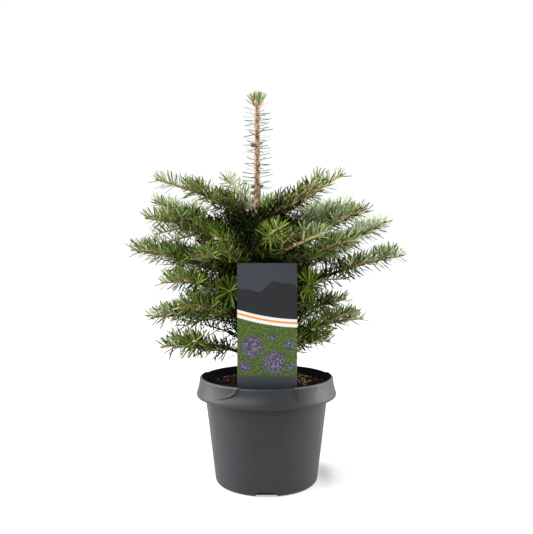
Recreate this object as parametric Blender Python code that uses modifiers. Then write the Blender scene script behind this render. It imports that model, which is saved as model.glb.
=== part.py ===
"""Korean fir: a young conifer in its nursery pot, with a plain plant label.

Metres, +Z up. The origin is the middle of the pot's flat underside, the camera side of the
plant faces -Y, and compass angles run from +X towards +Y.
"""

import math
import random
from collections import namedtuple

import bmesh
import bpy
import numpy as np
from mathutils import Matrix, Vector

# Gap left between neighbouring solids, and how near two corners are to count as one
CLEAR = 0.0003
WELD = 0.000003
SEED = 1

# Round limbs are shaded smooth, apart from edges sharper than this
CREASE_ANGLE = math.radians(50)

# Colours, as linear red, green and blue
PLASTIC_COLOUR = (0.068, 0.071, 0.076)
PEAT_COLOUR = (0.045, 0.028, 0.018)
CARD_COLOUR = (0.09, 0.12, 0.13)
BARK_COLOUR = (0.33, 0.21, 0.12)
NEEDLE_COLOUR = (0.075, 0.135, 0.055)

# Pot: a tapering tub with a rolled lip and a skirt that hangs clear of the wall
POT_HEIGHT = 0.142
POT_BASE_RADIUS = 0.0683
POT_NECK_RADIUS = 0.0824
POT_BAND_RADIUS = 0.0899
POT_BAND_BOTTOM = 0.130
POT_SKIRT_RADIUS = 0.0939
POT_SKIRT_WIDEST = 0.1205
POT_SKIRT_BOTTOM = 0.1165
POT_WALL = 0.0020
POT_FLOOR = 0.010
POT_CORNER = 0.006
POT_STEPS = 36
LIP_ROUND = 0.0027
LIP_DEPTH = 0.0081
FLARE_STEPS = 3
NOTCH_COUNT = 4
NOTCH_TOP_WIDTH = 0.021
NOTCH_FOOT_WIDTH = 0.030
NOTCH_HEIGHT = 0.007
NOTCH_DEPTH = 0.010
DRAIN_COUNT = 4
DRAIN_RADIUS = 0.0045
DRAIN_CIRCLE = 0.040
DRAIN_SIDES = 8

# Soil
SOIL_TOP = 0.131
SOIL_CROWN = 0.0015
SOIL_CROWN_RADIUS = 0.045
SOIL_GAP = 3.0 * CLEAR

# Label card, upright inside the front of the pot
LABEL_WIDTH = 0.0749
LABEL_TOP = 0.2955
LABEL_FOOT = 0.118
LABEL_THICKNESS = 0.0008
LABEL_X = 0.0008
LABEL_Y = -0.0665

# Trunk and leader
TRUNK_FOOT = SOIL_TOP + SOIL_CROWN + CLEAR
TRUNK_TOP = 0.390
TRUNK_FOOT_RADIUS = 0.0064
TRUNK_TOP_RADIUS = 0.0042
ROOT_FLARE = 0.0040
ROOT_FLARE_HEIGHT = 0.010
TRUNK_OFFSET = 0.0125
TRUNK_STATIONS = 12
TRIM = 1.1 * CLEAR
LEADER_TOP = 0.513
LEADER_RADIUS = 0.0043

# Boughs
BOUGH_FOOT_RADIUS = 0.0027
BOUGH_TIP_RADIUS = 0.0020
BOUGH_STATIONS = 3

# Shoots: three-sided twigs whose faces are drawn out into needles
STEM_RADIUS = 0.0026
SIDE_RADIUS = 0.0022
TIP_RADIUS = 0.0015
RING_SPACING = 0.0090
RING_TWIST = math.radians(38)
NEEDLE_LENGTH = 0.019
NEEDLE_LEAN = math.radians(34)
NEEDLE_LIFT = 0.22
LEAN_SPREAD = (0.75, 1.25)
LENGTH_SPREAD = (0.88, 1.08)
UNDER_NEEDLE = 0.72
UNDER_FACE = -0.4
NEEDLE_SCALES = (1.0, 0.6)
NEEDLE_STATIONS = (0.25, 0.5, 0.75, 1.0)
TIP_NEEDLE = 0.009
LEADER_NEEDLE = 0.018
LEADER_SPACING = 0.0055
LEADER_SIDES = 6
LEADER_TIP_RADIUS = 0.0036
LEADER_LEAN = math.radians(8)
LEADER_TIP_LEAN = math.radians(62)
LEADER_SHARE = 0.36

# Side shoots leave the stem in pairs at each year's node
PAIR_NODES = (0.40, 0.72)
PAIR_ANGLE = math.radians(42)
PAIR_ANGLE_SPREAD = (0.85, 1.15)
SIDE_SHARE = 0.80
SIDE_SPREAD = (0.90, 1.15)
SIDE_SHORTEST = 0.018
SIDE_LONGEST = 0.058
SIDE_RISE = (0.06, 0.24)
SIDE_EXTRA = 0.006
SHORTENING = 0.82
SHOOT_GAP = 0.0085

# Owner number of the trunk and boughs in the table of lines
LIMB = -1

# Room that a needle keeps at its root and at its tip, to the next mass and to the limbs
ROOT_ROOM = 0.0034
TIP_ROOM = 0.0008

# A bough and the foliage that it carries. height is where it leaves the trunk, azimuth its
# compass angle, reach and tip_height where its furthest twig ends, arch how far it bows up
# at mid-length, and bare how far it runs before its foliage (0: foliage from the trunk).
Branch = namedtuple("Branch", "name height azimuth reach tip_height arch bare")

BRANCHES = (
    Branch("top_left", 0.353, 190, 0.132, 0.403, 0.004, 0.030),
    Branch("top_back_left", 0.357, 120, 0.094, 0.414, 0.004, 0.026),
    Branch("top_right", 0.351, 350, 0.111, 0.409, -0.004, 0.028),
    Branch("top_back_right", 0.349, 66, 0.086, 0.380, 0.000, 0.0),
    Branch("upper_right", 0.322, 34, 0.156, 0.370, 0.004, 0.036),
    Branch("right_high", 0.300, 11, 0.152, 0.364, 0.002, 0.036),
    Branch("right_far", 0.262, 24, 0.198, 0.347, 0.002, 0.044),
    Branch("right_mid", 0.276, 344, 0.132, 0.321, 0.004, 0.034),
    Branch("right_long", 0.238, 356, 0.188, 0.304, 0.008, 0.044),
    Branch("front_right", 0.290, 312, 0.116, 0.332, 0.003, 0.0),
    Branch("front_high", 0.312, 281, 0.130, 0.337, 0.003, 0.030),
    Branch("front_left_high", 0.305, 232, 0.082, 0.326, 0.004, 0.0),
    Branch("left_upper", 0.318, 177, 0.150, 0.354, 0.004, 0.040),
    Branch("left_back", 0.300, 153, 0.164, 0.378, 0.002, 0.042),
    Branch("front_left", 0.283, 214, 0.091, 0.305, 0.003, 0.0),
    Branch("left_long", 0.270, 171, 0.177, 0.311, 0.004, 0.044),
    Branch("left_mid", 0.254, 192, 0.129, 0.269, 0.005, 0.036),
    Branch("left_droop", 0.198, 207, 0.116, 0.238, 0.010, 0.040),
    Branch("left_low", 0.215, 177, 0.149, 0.219, 0.006, 0.044),
    Branch("left_bottom", 0.158, 191, 0.136, 0.184, 0.013, 0.040),
    Branch("front_left_inner", 0.240, 228, 0.050, 0.256, 0.000, 0.0),
    Branch("front_right_inner", 0.250, 322, 0.075, 0.266, 0.000, 0.0),
    Branch("front_low_inner", 0.220, 318, 0.070, 0.241, 0.000, 0.0),
    Branch("right_low", 0.188, 352, 0.131, 0.221, 0.004, 0.036),
    Branch("right_low_back", 0.208, 34, 0.134, 0.236, 0.003, 0.032),
    Branch("right_bottom", 0.168, 332, 0.093, 0.195, 0.004, 0.0),
    Branch("back_high", 0.312, 100, 0.122, 0.356, 0.003, 0.030),
    Branch("back_right", 0.246, 62, 0.146, 0.300, 0.004, 0.036),
    Branch("back_left", 0.258, 122, 0.146, 0.306, 0.004, 0.036),
    Branch("back_left_low", 0.204, 140, 0.132, 0.244, 0.004, 0.034),
    Branch("back_low", 0.178, 92, 0.120, 0.208, 0.005, 0.0),
    Branch("front_inner", 0.200, 256, 0.048, 0.222, 0.000, 0.0),
)


def material(name, colour, roughness):
    """A Principled material in one colour."""
    made = bpy.data.materials.new(name)
    made.use_nodes = True
    shader = made.node_tree.nodes["Principled BSDF"]
    shader.inputs["Base Color"].default_value = (*colour, 1.0)
    shader.inputs["Roughness"].default_value = roughness
    shader.inputs["Metallic"].default_value = 0.0
    made.diffuse_color = (*colour, 1.0)
    return made


def add_object(name, data, collection, finish=None):
    """A named object around a mesh or curve, in its collection."""
    made = bpy.data.objects.new(name, data)
    collection.objects.link(made)
    if finish is not None:
        data.materials.append(finish)
    return made


def as_mesh(thing):
    """Replace an object by its evaluated mesh, with loose caps welded."""
    bpy.context.view_layer.update()
    graph = bpy.context.evaluated_depsgraph_get()
    mesh = bpy.data.meshes.new_from_object(thing.evaluated_get(graph))
    bm = bmesh.new()
    bm.from_mesh(mesh)
    bmesh.ops.remove_doubles(bm, verts=bm.verts, dist=WELD)
    bmesh.ops.recalc_face_normals(bm, faces=bm.faces)
    bm.to_mesh(mesh)
    bm.free()
    name = thing.name
    collection = thing.users_collection[0]
    place = thing.matrix_world.copy()
    bpy.data.objects.remove(thing)
    mesh.name = name
    made = bpy.data.objects.new(name, mesh)
    collection.objects.link(made)
    made.matrix_world = place
    return made


def tube(name, points, radii, collection, finish=None):
    """A round limb along points, as a mesh, with its own radius at each point."""
    curve = bpy.data.curves.new(name, "CURVE")
    curve.dimensions = "3D"
    curve.bevel_depth = 1.0
    curve.bevel_resolution = 2
    curve.use_fill_caps = True
    line = curve.splines.new("POLY")
    line.points.add(len(points) - 1)
    for spot, point, radius in zip(line.points, points, radii):
        spot.co = (*point, 1.0)
        spot.radius = radius
    made = as_mesh(add_object(name, curve, collection, finish))
    made.data.shade_smooth()
    made.data.set_sharp_from_angle(angle=CREASE_ANGLE)
    return made


def make_cutter(thing):
    """Keep a cutter out of the render and drawn as wire."""
    thing.hide_render = True
    thing.display_type = "WIRE"
    return thing


def cut(thing, cutter):
    """Cut one object's shape out of another."""
    step = thing.modifiers.new("Cut", "BOOLEAN")
    step.operation = "DIFFERENCE"
    step.object = cutter
    step.solver = "EXACT"


def turned(name, profile, collection, finish=None):
    """A closed profile of (radius, height) points turned about Z."""
    mesh = bpy.data.meshes.new(name)
    bm = bmesh.new()
    spots = [bm.verts.new((radius, 0.0, height)) for radius, height in profile]
    for here, there in zip(spots, spots[1:]):
        bm.edges.new((here, there))
    if profile[0][0] > 0.0:
        bm.edges.new((spots[-1], spots[0]))
    bm.to_mesh(mesh)
    bm.free()
    made = add_object(name, mesh, collection, finish)
    screw = made.modifiers.new("Screw", "SCREW")
    screw.axis = "Z"
    screw.angle = 2.0 * math.pi
    screw.steps = POT_STEPS
    screw.render_steps = POT_STEPS
    screw.use_merge_vertices = True
    screw.merge_threshold = 0.00005
    screw.use_smooth_shade = True
    return made


def arc(centre, radius, start, stop, steps):
    """Points on an arc, angles in degrees from the outward direction."""
    spots = []
    for index in range(steps + 1):
        angle = math.radians(start + (stop - start) * index / steps)
        spots.append((centre[0] + radius * math.cos(angle), centre[1] + radius * math.sin(angle)))
    return spots


def wall_radius(height):
    """Outer radius of the pot's wall, which tapers evenly to its base."""
    share = height / POT_SKIRT_BOTTOM
    return POT_BASE_RADIUS + (POT_NECK_RADIUS - POT_BASE_RADIUS) * share


def inner_radius(height):
    """Radius of the pot's inside, one wall in from its outer face."""
    return wall_radius(height) - POT_WALL


def pot_profile():
    """Lip, band, flared skirt, wall, rounded foot and floor, down the outside and up the inside."""
    lip_centre = (POT_BAND_RADIUS - LIP_ROUND, POT_HEIGHT - LIP_ROUND)
    profile = arc(lip_centre, LIP_ROUND, 90, 0, 2)
    flare = POT_SKIRT_RADIUS - POT_BAND_RADIUS
    for index in range(FLARE_STEPS + 1):
        share = index / FLARE_STEPS
        swell = 0.5 - 0.5 * math.cos(math.pi * share)
        drop = (POT_BAND_BOTTOM - POT_SKIRT_WIDEST) * share
        profile.append((POT_BAND_RADIUS + flare * swell, POT_BAND_BOTTOM - drop))
    profile.append((POT_SKIRT_RADIUS - POT_WALL / 2, POT_SKIRT_BOTTOM))
    profile.append((POT_SKIRT_RADIUS - POT_WALL, POT_SKIRT_BOTTOM))
    profile.append((POT_BAND_RADIUS - POT_WALL / 2, POT_BAND_BOTTOM))
    under_lip = POT_HEIGHT - LIP_DEPTH
    profile.append((wall_radius(under_lip), under_lip))
    foot_centre = (wall_radius(POT_CORNER) - POT_CORNER, POT_CORNER)
    profile += arc(foot_centre, POT_CORNER, 0, -90, 3)
    profile.append((0.0, 0.0))
    profile.append((0.0, POT_FLOOR))
    inside_corner = inner_radius(POT_FLOOR) - POT_CORNER
    profile += arc((inside_corner, POT_FLOOR + POT_CORNER), POT_CORNER, -90, 0, 2)
    profile.append((inner_radius(POT_SKIRT_BOTTOM), POT_SKIRT_BOTTOM))
    profile += arc(lip_centre, LIP_ROUND, 180, 90, 2)[:-1]
    return profile


def build_pot(parts, cutters):
    """The pot, with drainage notches round its foot and holes through its floor."""
    pot = turned("pot", pot_profile(), parts, material("Dark grey plastic", PLASTIC_COLOUR, 0.42))
    outline = (
        (-NOTCH_FOOT_WIDTH / 2, -NOTCH_HEIGHT),
        (NOTCH_FOOT_WIDTH / 2, -NOTCH_HEIGHT),
        (NOTCH_FOOT_WIDTH / 2, 0.0),
        (NOTCH_TOP_WIDTH / 2, NOTCH_HEIGHT),
        (-NOTCH_TOP_WIDTH / 2, NOTCH_HEIGHT),
        (-NOTCH_FOOT_WIDTH / 2, 0.0),
    )
    for index in range(NOTCH_COUNT):
        bm = bmesh.new()
        face = bm.faces.new([bm.verts.new((0.0, across, height)) for across, height in outline])
        grown = bmesh.ops.extrude_face_region(bm, geom=[face])
        moved = [item for item in grown["geom"] if isinstance(item, bmesh.types.BMVert)]
        bmesh.ops.translate(bm, verts=moved, vec=(2.0 * NOTCH_DEPTH, 0.0, 0.0))
        bmesh.ops.recalc_face_normals(bm, faces=bm.faces)
        mesh = bpy.data.meshes.new(f"notch_{index}")
        bm.to_mesh(mesh)
        bm.free()
        notch = make_cutter(add_object(mesh.name, mesh, cutters))
        turn = Matrix.Rotation(2.0 * math.pi * index / NOTCH_COUNT - 0.5 * math.pi, 4, "Z")
        notch.matrix_world = turn @ Matrix.Translation((POT_BASE_RADIUS - NOTCH_DEPTH, 0.0, 0.0))
        cut(pot, notch)
    for index in range(DRAIN_COUNT):
        angle = 2.0 * math.pi * (index + 0.5) / DRAIN_COUNT
        bm = bmesh.new()
        bmesh.ops.create_cone(bm, cap_ends=True, segments=DRAIN_SIDES, radius1=DRAIN_RADIUS,
                              radius2=DRAIN_RADIUS, depth=3.0 * POT_FLOOR)
        mesh = bpy.data.meshes.new(f"drain_{index}")
        bm.to_mesh(mesh)
        bm.free()
        drain = make_cutter(add_object(mesh.name, mesh, cutters))
        drain.location = (DRAIN_CIRCLE * math.cos(angle), DRAIN_CIRCLE * math.sin(angle), 0.0)
        cut(pot, drain)


def build_soil(parts, cutters):
    """The soil, which fills the pot just clear of its wall and has a slot for the label."""
    floor = POT_FLOOR + CLEAR
    side = floor + POT_CORNER
    profile = [
        (0.0, SOIL_TOP + SOIL_CROWN),
        (SOIL_CROWN_RADIUS / 2, SOIL_TOP + SOIL_CROWN),
        (SOIL_CROWN_RADIUS, SOIL_TOP + SOIL_CROWN / 2),
        (inner_radius(SOIL_TOP) - SOIL_GAP, SOIL_TOP),
        (inner_radius(side) - SOIL_GAP, side),
        (inner_radius(floor) - POT_CORNER - CLEAR, floor),
        (0.0, floor),
    ]
    soil = turned("soil", profile, parts, material("Moist peat", PEAT_COLOUR, 0.95))
    grown = 2.0 * CLEAR
    bm = bmesh.new()
    bmesh.ops.create_cube(bm, size=1.0)
    bmesh.ops.scale(bm, verts=bm.verts, vec=(
        LABEL_WIDTH + grown, LABEL_THICKNESS + grown, LABEL_TOP - LABEL_FOOT + grown))
    mesh = bpy.data.meshes.new("label_slot")
    bm.to_mesh(mesh)
    bm.free()
    slot = make_cutter(add_object("label_slot", mesh, cutters))
    slot.location = (LABEL_X, LABEL_Y, (LABEL_TOP + LABEL_FOOT) / 2)
    cut(soil, slot)


def build_label(parts):
    """The label card, a thin upright plate."""
    bm = bmesh.new()
    bmesh.ops.create_cube(bm, size=1.0)
    bmesh.ops.scale(bm, verts=bm.verts, vec=(LABEL_WIDTH, LABEL_THICKNESS, LABEL_TOP - LABEL_FOOT))
    mesh = bpy.data.meshes.new("label")
    bm.to_mesh(mesh)
    bm.free()
    label = add_object("label", mesh, parts, material("Printed card", CARD_COLOUR, 0.45))
    label.location = (LABEL_X, LABEL_Y, (LABEL_TOP + LABEL_FOOT) / 2)


def trunk_point(height):
    """Middle of the trunk at a height: it leans to the left and comes upright towards its top."""
    below = max(TRUNK_TOP - height, 0.0) / (TRUNK_TOP - TRUNK_FOOT)
    return Vector((-TRUNK_OFFSET * (1.0 - below ** 2), 0.0, height))


def trunk_radius(height):
    """Trunk radius: an even taper, with a root flare at the soil."""
    share = (height - TRUNK_FOOT) / (TRUNK_TOP - TRUNK_FOOT)
    taper = TRUNK_FOOT_RADIUS + (TRUNK_TOP_RADIUS - TRUNK_FOOT_RADIUS) * share
    return taper + ROOT_FLARE * math.exp((TRUNK_FOOT - height) / ROOT_FLARE_HEIGHT)


def build_trunk(parts, cutters, bark):
    """The trunk, and a copy a little fatter that trims what meets it."""
    span = TRUNK_TOP - TRUNK_FOOT
    heights = [TRUNK_FOOT + span * (index / TRUNK_STATIONS) ** 2 for index in range(TRUNK_STATIONS + 1)]
    points = [trunk_point(height) for height in heights]
    points[1].x = points[0].x
    radii = [trunk_radius(height) for height in heights]
    tube("trunk", points, radii, parts, bark)
    fatter = [radius + TRIM for radius in radii]
    return make_cutter(tube("trunk_clearance", points, fatter, cutters))


def branch_point(branch, share):
    """A point on the line of a bough and its main stem, at a share of its reach."""
    foot = trunk_point(branch.height)
    angle = math.radians(branch.azimuth)
    along = branch.reach * share
    rise = (branch.tip_height - branch.height) * share
    bow = 4.0 * branch.arch * share * (1.0 - share)
    return foot + Vector((along * math.cos(angle), along * math.sin(angle), rise + bow))


def branch_line(branch, start, stop, spacing):
    """Points along a branch between two shares of its reach."""
    count = max(2, round(branch.reach * (stop - start) / spacing))
    return [branch_point(branch, start + (stop - start) * index / count) for index in range(count + 1)]


def build_bough(branch, parts, trimmer, bark):
    """A bare bough from the trunk to where its foliage starts."""
    stop = branch.bare / branch.reach
    points = branch_line(branch, 0.0, stop, branch.bare / BOUGH_STATIONS)
    steps = len(points) - 1
    radii = [
        BOUGH_FOOT_RADIUS + (BOUGH_TIP_RADIUS - BOUGH_FOOT_RADIUS) * index / steps
        for index in range(steps + 1)
    ]
    bough = tube(f"bough_{branch.name}", points, radii, parts, bark)
    cut(bough, trimmer)


class Space:
    """The lines that the masses and limbs run along, and the room between them."""

    def __init__(self):
        self.stretches = []
        self.table = None
        self.lines = 0

    def add(self, line, owner, radius):
        """Take in a line of points that belongs to a mass, or to a limb, and give its number."""
        self.lines += 1
        for here, there in zip(line, line[1:]):
            self.stretches.append((*here, *(there - here), owner, radius, self.lines))
        self.table = None
        return self.lines

    def distances(self, point):
        """The table of stretches, and the distance from a point to each."""
        if self.table is None:
            self.table = np.array(self.stretches)
        starts = self.table[:, 0:3]
        along = self.table[:, 3:6]
        offset = np.array(point) - starts
        share = np.clip((offset * along).sum(1) / (along * along).sum(1), 0.0, 1.0)
        return self.table, np.linalg.norm(offset - along * share[:, None], axis=1)

    def is_free(self, point, number, room):
        """True where a point is nearer its own line than any other, by room, and off the limbs."""
        if not off_pot_and_label(point, room):
            return False
        table, found = self.distances(point)
        limb = table[:, 6] == LIMB
        mine = table[:, 8] == number
        off_limbs = (found - table[:, 7])[limb].min()
        others = found[~limb & ~mine].min()
        return others - found[mine].min() > 2.0 * room and off_limbs > room

    def is_clear(self, line, owner, gap):
        """True where a line keeps a gap to all that isn't its own mass."""
        for point in line:
            table, found = self.distances(point)
            if found[table[:, 6] != owner].min() < gap or not off_pot_and_label(point, gap / 2):
                return False
        return True


def off_pot_and_label(point, room):
    """True where a point keeps some room to the pot's rim and to the label card."""
    if point[2] < POT_HEIGHT + room:
        return False
    beside = abs(point[0] - LABEL_X) - LABEL_WIDTH / 2
    before = abs(point[1] - LABEL_Y) - LABEL_THICKNESS / 2
    above = point[2] - LABEL_TOP
    return max(beside, before, above) > room


def stem_line(branch):
    """The main stem of a mass, which starts clear of its bough's tip or inside the trunk."""
    start = 0.0 if branch.bare == 0.0 else (branch.bare + CLEAR) / branch.reach
    return branch_line(branch, start, 1.0, RING_SPACING)


def side_lines(branch, owner, space, rng):
    """The side shoots of a mass: a pair at each node, shortened or left out where it is tight."""
    lines = []
    first = branch.bare / branch.reach
    for node in PAIR_NODES:
        share = first + (1.0 - first) * node
        root = branch_point(branch, share)
        ahead = (branch_point(branch, 1.0) - branch_point(branch, share)).normalized()
        remaining = branch.reach * (1.0 - share)
        for side in (-1.0, 1.0):
            angle = side * PAIR_ANGLE * rng.uniform(*PAIR_ANGLE_SPREAD)
            length = min(SIDE_LONGEST, SIDE_SHARE * remaining * rng.uniform(*SIDE_SPREAD) + SIDE_EXTRA)
            away = Matrix.Rotation(angle, 3, "Z") @ ahead
            away.z += rng.uniform(*SIDE_RISE)
            away.normalize()
            while length >= SIDE_SHORTEST:
                count = max(2, round(length / RING_SPACING))
                line = [root + away * (length * index / count) for index in range(count + 1)]
                if space.is_clear(line[1:], owner, SHOOT_GAP):
                    lines.append((line, space.add(line, owner, SIDE_RADIUS)))
                    break
                length *= SHORTENING
    return lines


def ring_matrix(line, index, turn):
    """Place of a ring: its middle on the line, its plane across it, turned by an angle."""
    before = line[max(index - 1, 0)]
    after = line[min(index + 1, len(line) - 1)]
    facing = (after - before).to_track_quat("Z", "Y").to_matrix().to_4x4()
    return Matrix.Translation(line[index]) @ facing @ Matrix.Rotation(turn, 4, "Z")


def twig(line, radii, sides, turn):
    """A closed faceted twig along a line, and its side faces with the stretch that each is on."""
    bm = bmesh.new()
    bmesh.ops.create_cone(bm, cap_ends=True, segments=sides, radius1=1.0, radius2=1.0, depth=1.0)
    caps = sorted((face for face in bm.faces if abs(face.normal.z) > 0.5), key=lambda face: face.normal.z)
    foot, top = caps
    angles = [math.atan2(spot.co.y, spot.co.x) for spot in top.verts]
    foot_angles = [math.atan2(spot.co.y, spot.co.x) for spot in foot.verts]

    def place(cap, cap_angles, index):
        """Move a cap's corners onto its ring."""
        matrix = ring_matrix(line, index, turn + RING_TWIST * index)
        for spot, angle in zip(cap.verts, cap_angles):
            spot.co = matrix @ Vector((radii[index] * math.cos(angle), radii[index] * math.sin(angle), 0.0))

    place(foot, foot_angles, 0)
    place(top, angles, 1)
    sides_found = []
    for index in range(1, len(line)):
        if index > 1:
            top = bmesh.ops.extrude_discrete_faces(bm, faces=[top])["faces"][0]
            place(top, angles, index)
        for edge in top.edges:
            sides_found += [(face, index) for face in edge.link_faces if face is not top]
    bm.normal_update()
    return bm, top, sides_found


def needle_reach(face, line, index, rng, length, lean):
    """From a face's middle to its needle's tip: outwards, towards the shoot's tip and upwards."""
    ahead = (line[index] - line[index - 1]).normalized()
    out = face.calc_center_median() - (line[index] + line[index - 1]) / 2
    out -= ahead * out.dot(ahead)
    out.normalize()
    if out.z < UNDER_FACE:
        length *= UNDER_NEEDLE
    tilt = lean * rng.uniform(*LEAN_SPREAD)
    aim = out * math.cos(tilt) + ahead * math.sin(tilt)
    aim.z += NEEDLE_LIFT
    return aim.normalized() * (length * rng.uniform(*LENGTH_SPREAD))


def fits(root, reach, number, space):
    """True where a needle keeps to its own space from near its root to its tip."""
    for share in NEEDLE_STATIONS:
        room = ROOT_ROOM + (TIP_ROOM - ROOT_ROOM) * share
        if not space.is_free(root + reach * share, number, room):
            return False
    return True


def draw_out(bm, face, reach, number, space):
    """Draw a face out into a needle, at full or reduced length, if it fits."""
    root = face.calc_center_median()
    for scale in NEEDLE_SCALES:
        if fits(root, reach * scale, number, space):
            tip = bmesh.ops.poke(bm, faces=[face])["verts"][0]
            tip.co = root + reach * scale
            return


def shoot(name, line, radius, number, space, rng, collection):
    """A three-sided twig with a needle on each side face that has room for one."""
    steps = len(line) - 1
    radii = [radius + (TIP_RADIUS - radius) * index / steps for index in range(steps + 1)]
    bm, top, faces = twig(line, radii, 3, rng.uniform(0.0, 2.0 * math.pi))
    ahead = (line[-1] - line[-2]).normalized()
    draw_out(bm, top, ahead * TIP_NEEDLE, number, space)
    for face, index in faces:
        reach = needle_reach(face, line, index, rng, NEEDLE_LENGTH, NEEDLE_LEAN)
        if index > 1:
            draw_out(bm, face, reach, number, space)
    mesh = bpy.data.meshes.new(name)
    bm.to_mesh(mesh)
    bm.free()
    return add_object(name, mesh, collection)


def keep_one_body(mesh):
    """Drop the loose scraps and sealed hollows that a union can leave."""
    bm = bmesh.new()
    bm.from_mesh(mesh)
    left = set(bm.faces)
    bodies = []
    while left:
        body = [left.pop()]
        for face in body:
            for edge in face.edges:
                for near in edge.link_faces:
                    if near in left:
                        left.remove(near)
                        body.append(near)
        bodies.append(body)
    bodies.sort(key=len)
    for body in bodies[:-1]:
        bmesh.ops.delete(bm, geom=body, context="FACES")
    loose = [spot for spot in bm.verts if not spot.link_faces]
    bmesh.ops.delete(bm, geom=loose, context="VERTS")
    bm.to_mesh(mesh)
    bm.free()


def build_mass(branch, lines, space, parts, trimmer, green):
    """One mass of foliage: its stem and side shoots, joined and cut clear of the trunk."""
    rng = random.Random(f"needles of {branch.name}, {SEED}")
    helpers = bpy.data.collections.new("side_shoots")
    bpy.context.scene.collection.children.link(helpers)
    stem, number = lines[0]
    mass = shoot(f"mass_{branch.name}", stem, STEM_RADIUS, number, space, rng, parts)
    mass.data.materials.append(green)
    for line, number in lines[1:]:
        shoot("side_shoot", line, SIDE_RADIUS, number, space, rng, helpers)
    if helpers.objects:
        join = mass.modifiers.new("Union", "BOOLEAN")
        join.operation = "UNION"
        join.operand_type = "COLLECTION"
        join.collection = helpers
        join.solver = "EXACT"
    if branch.bare == 0.0:
        cut(mass, trimmer)
    mass = as_mesh(mass)
    keep_one_body(mass.data)
    for helper in helpers.objects[:]:
        bpy.data.objects.remove(helper)
    bpy.data.collections.remove(helpers)


def build_leader(number, space, parts, green):
    """The leader: this year's upright shoot, thinly set with needles, with buds at its tip."""
    rng = random.Random(f"needles of the leader, {SEED}")
    line = leader_line()
    steps = len(line) - 1
    taper = (LEADER_TIP_RADIUS - LEADER_RADIUS) / steps
    radii = [LEADER_RADIUS + taper * index for index in range(steps + 1)]
    bm, top, faces = twig(line, radii, LEADER_SIDES, 0.0)
    draw_out(bm, top, Vector((0.0, 0.0, TIP_NEEDLE)), number, space)
    for face, index in faces:
        lean = LEADER_LEAN if index < steps else LEADER_TIP_LEAN
        reach = needle_reach(face, line, index, rng, LEADER_NEEDLE, lean)
        if index == steps or rng.random() < LEADER_SHARE:
            draw_out(bm, face, reach, number, space)
    mesh = bpy.data.meshes.new("leader")
    bm.to_mesh(mesh)
    bm.free()
    add_object("leader", mesh, parts, green)


def leader_line():
    """Points up the leader from just above the trunk's cut top."""
    start = TRUNK_TOP + CLEAR
    count = round((LEADER_TOP - start) / LEADER_SPACING)
    return [trunk_point(start + (LEADER_TOP - start) * index / count) for index in range(count + 1)]


def lay_out(space):
    """Run every line through the space: the trunk, the boughs, the stems, then the side shoots."""
    step = (TRUNK_TOP - TRUNK_FOOT) / TRUNK_STATIONS
    axis = [trunk_point(TRUNK_FOOT + step * index) for index in range(TRUNK_STATIONS + 1)]
    space.add(axis, LIMB, TRUNK_FOOT_RADIUS)
    stems = []
    for owner, branch in enumerate(BRANCHES):
        if branch.bare > 0.0:
            foot = branch_line(branch, 0.0, branch.bare / branch.reach, branch.bare / BOUGH_STATIONS)
            space.add(foot, LIMB, BOUGH_FOOT_RADIUS)
        line = stem_line(branch)
        stems.append((line, space.add(line, owner, STEM_RADIUS)))
    leader = space.add(leader_line(), len(BRANCHES), LEADER_RADIUS)
    laid = []
    for owner, branch in enumerate(BRANCHES):
        rng = random.Random(f"side shoots of {branch.name}, {SEED}")
        laid.append([stems[owner]] + side_lines(branch, owner, space, rng))
    return laid, leader


def main():
    """Clear the scene and build the plant."""
    for thing in bpy.data.objects[:]:
        bpy.data.objects.remove(thing)
    parts = bpy.data.collections.new("korean_fir")
    cutters = bpy.data.collections.new("cutters")
    bpy.context.scene.collection.children.link(parts)
    bpy.context.scene.collection.children.link(cutters)
    bark = material("Bark", BARK_COLOUR, 0.85)
    green = material("Needles", NEEDLE_COLOUR, 0.6)
    build_pot(parts, cutters)
    build_soil(parts, cutters)
    build_label(parts)
    trimmer = build_trunk(parts, cutters, bark)
    for branch in BRANCHES:
        if branch.bare > 0.0:
            build_bough(branch, parts, trimmer, bark)
    space = Space()
    laid, leader = lay_out(space)
    for branch, lines in zip(BRANCHES, laid):
        build_mass(branch, lines, space, parts, trimmer, green)
    build_leader(leader, space, parts, green)


main()
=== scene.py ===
"""Young Korean fir in its nursery pot, laid out as a Blender add-on.

Each operator makes one piece, or one group of like pieces, in the place of the plain solids that
it stands for. Metres, +Z up, the origin under the middle of the pot, -Y towards the camera.
"""

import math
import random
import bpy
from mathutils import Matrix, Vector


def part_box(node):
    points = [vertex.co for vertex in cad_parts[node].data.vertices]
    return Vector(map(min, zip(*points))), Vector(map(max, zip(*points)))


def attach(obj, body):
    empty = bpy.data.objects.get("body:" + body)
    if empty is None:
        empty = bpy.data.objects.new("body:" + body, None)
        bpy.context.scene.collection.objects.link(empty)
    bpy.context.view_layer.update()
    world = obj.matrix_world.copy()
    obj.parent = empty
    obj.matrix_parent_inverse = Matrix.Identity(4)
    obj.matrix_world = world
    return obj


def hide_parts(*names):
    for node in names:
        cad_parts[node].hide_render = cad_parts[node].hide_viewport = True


bl_info = {
    "name": "Korean fir in a nursery pot",
    "version": (1, 0, 0),
    "blender": (4, 5, 0),
    "location": "3D View > Sidebar > Korean fir",
    "description": "Grows the needles, twigs and bark of a potted Korean fir round its solids",
    "category": "Object",
}

from collections import namedtuple
from functools import lru_cache

import bmesh
import bpy
import numpy as np
from bpy.props import FloatProperty, FloatVectorProperty, PointerProperty
from mathutils import Matrix, Vector, noise

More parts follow.
